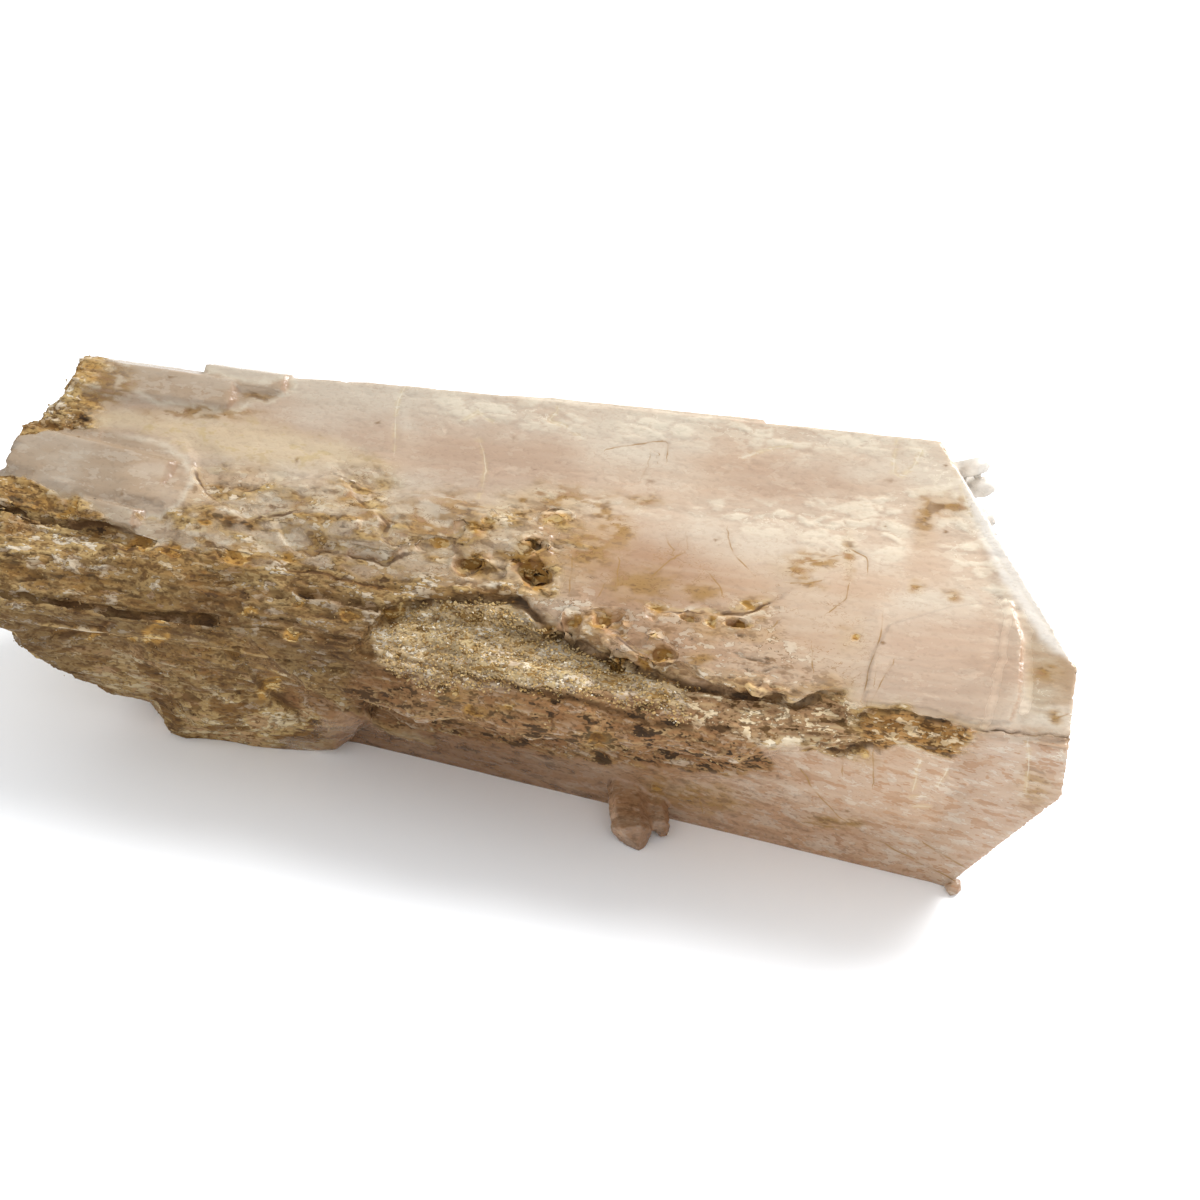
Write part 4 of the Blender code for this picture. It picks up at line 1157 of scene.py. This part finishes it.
def sprinkled(name, points, normals, sizes, lengths, shades, painted_shade, seed, box):
    """Grains at these places, leaning every way about the surface, as one mesh."""
    draw = np.random.default_rng(seed)
    corners, faces = grain_shape()
    count = len(points)
    along = np.stack([draw.normal(middle, 0.5, count) for middle in (1.0, 0.0, 0.0)], axis=1)
    along += normals * draw.uniform(-0.2, 1.2, count)[:, None]
    along /= np.linalg.norm(along, axis=1)[:, None]
    side = np.cross(along, draw.normal(size=(count, 3)))
    side /= np.linalg.norm(side, axis=1)[:, None]
    third = np.cross(along, side)
    shape = corners[None, :, :]
    place = side[:, None, :] * (shape[..., 0:1] * sizes[:, None, None])
    place = place + third[:, None, :] * (shape[..., 1:2] * sizes[:, None, None])
    place = place + along[:, None, :] * (shape[..., 2:3] * (sizes * lengths)[:, None, None])
    place += (points + draw.normal(0, 0.16, (count, 3)))[:, None, :]
    low, high = box
    place = np.clip(place, low + 0.02, high - 0.02)
    every = (faces[None, :, :] + (np.arange(count) * len(corners))[:, None, None]).reshape(-1, 3)
    mesh = bpy.data.meshes.new(name)
    mesh.from_pydata(((place.reshape(-1, 3) + DRAWING_ZERO) * MM).tolist(), [], every.tolist())
    piece = bpy.data.objects.new(name, mesh)
    bpy.context.scene.collection.objects.link(piece)
    set_mark(piece, "shade", np.repeat(shades, len(corners)))
    # How much painted shade each grain takes.
    set_mark(piece, "painted_shade", np.repeat(painted_shade, len(corners)))
    mesh.materials.append(grain_finish())
    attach(piece, "root")
    return piece


def grains_on(points, normals, surface, box):
    """Grains of druse in the seam and on the crust."""
    draw = np.random.default_rng(8)
    seen, _ = facing_camera(points, normals)
    crust, druse, off_fan = surface.crust, surface.druse, 1 - surface.fibres
    # Name, where they are, how many, smallest and largest in mm, longest, shade and seed.
    kinds = (
        ("druse_grains", druse * crust * seen * off_fan > 0.6, 6000, 0.12, 0.28, 1.4, 0.58, 11),
        ("crust_grains", crust * (1 - druse) * off_fan > 0.8, 1500, 0.1, 0.26, 1.6, 0.42, 12),
    )
    for name, chosen, count, smallest, largest, longest, shade, seed in kinds:
        pool = np.nonzero(chosen & (points[:, 2] > 0.6))[0]
        picked = draw.choice(pool, count)
        sizes = smallest + (largest - smallest) * draw.random(count) ** 2.0
        shades = draw.normal(shade, 0.18, count)
        # Grains are lighter on painted highlights and darker in painted shade.
        shades = np.clip(shades + 0.25 * (surface.pale - surface.shaded_hollow)[picked], 0, 1)
        sprinkled(name, points[picked], normals[picked], sizes,
                  draw.uniform(0.8, longest, count), shades, surface.shade[picked], seed, box)


def softbox(name, place, aim, size, power):
    """A square soft light that looks at a point."""
    light = bpy.data.lights.new(name, "AREA")
    light.shape = "SQUARE"
    light.size = size
    light.energy = power
    lamp = bpy.data.objects.new(name, light)
    bpy.context.scene.collection.objects.link(lamp)
    lamp.location = place
    lamp.rotation_euler = (Vector(aim) - Vector(place)).to_track_quat("-Z", "Y").to_euler()


def studio():
    """A pale table, soft light from above and behind on the right, and a bright room."""
    bpy.ops.object.select_all(action="DESELECT")
    bpy.ops.mesh.primitive_plane_add(size=4.0, location=(0, 0, 0))
    floor = bpy.context.object
    floor.name = "table"
    paint = bpy.data.materials.new("pale_table")
    paint.use_nodes = True
    coat = paint.node_tree.nodes["Principled BSDF"]
    put(coat, "Base Color", (0.93, 0.95, 0.975, 1))
    put(coat, "Roughness", 0.9)
    floor.data.materials.append(paint)

    world = bpy.data.worlds.new("room")
    bpy.context.scene.world = world
    world.use_nodes = True
    room = world.node_tree.nodes["Background"]
    put(room, "Color", (1.0, 1.0, 1.0, 1))
    put(room, "Strength", 0.95)
    bpy.context.scene.view_settings.view_transform = "Standard"

    softbox("key", (0.26, 0.16, 0.36), (0.02, 0, 0.02), 0.22, 2.6)
    softbox("fill", (0.2, -0.55, 0.5), (0, -0.06, 0.0), 0.6, 0.75)


def place_camera():
    """Set up the camera."""
    forward, right, up = camera_ways()
    eye = (CAMERA_AIM + DRAWING_ZERO - forward * CAMERA_AWAY) * MM
    lens = bpy.data.cameras.new("camera")
    lens.lens = LENS
    lens.sensor_width = 36.0
    lens.clip_start = 0.01
    camera = bpy.data.objects.new("camera", lens)
    bpy.context.scene.collection.objects.link(camera)
    turn = Matrix((right, up, -forward)).transposed().to_4x4()
    turn.translation = Vector(eye)
    camera.matrix_world = turn
    bpy.context.scene.camera = camera


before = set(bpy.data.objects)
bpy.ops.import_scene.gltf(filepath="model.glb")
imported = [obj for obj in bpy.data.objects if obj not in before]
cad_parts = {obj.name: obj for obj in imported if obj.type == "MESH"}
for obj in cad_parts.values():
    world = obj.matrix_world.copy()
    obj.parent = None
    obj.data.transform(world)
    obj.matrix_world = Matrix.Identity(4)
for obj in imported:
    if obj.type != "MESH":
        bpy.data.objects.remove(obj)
solid_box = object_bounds()
place_camera()
studio()
crystal_surface(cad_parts["danburite_crystal"], box_in_drawing(solid_box))
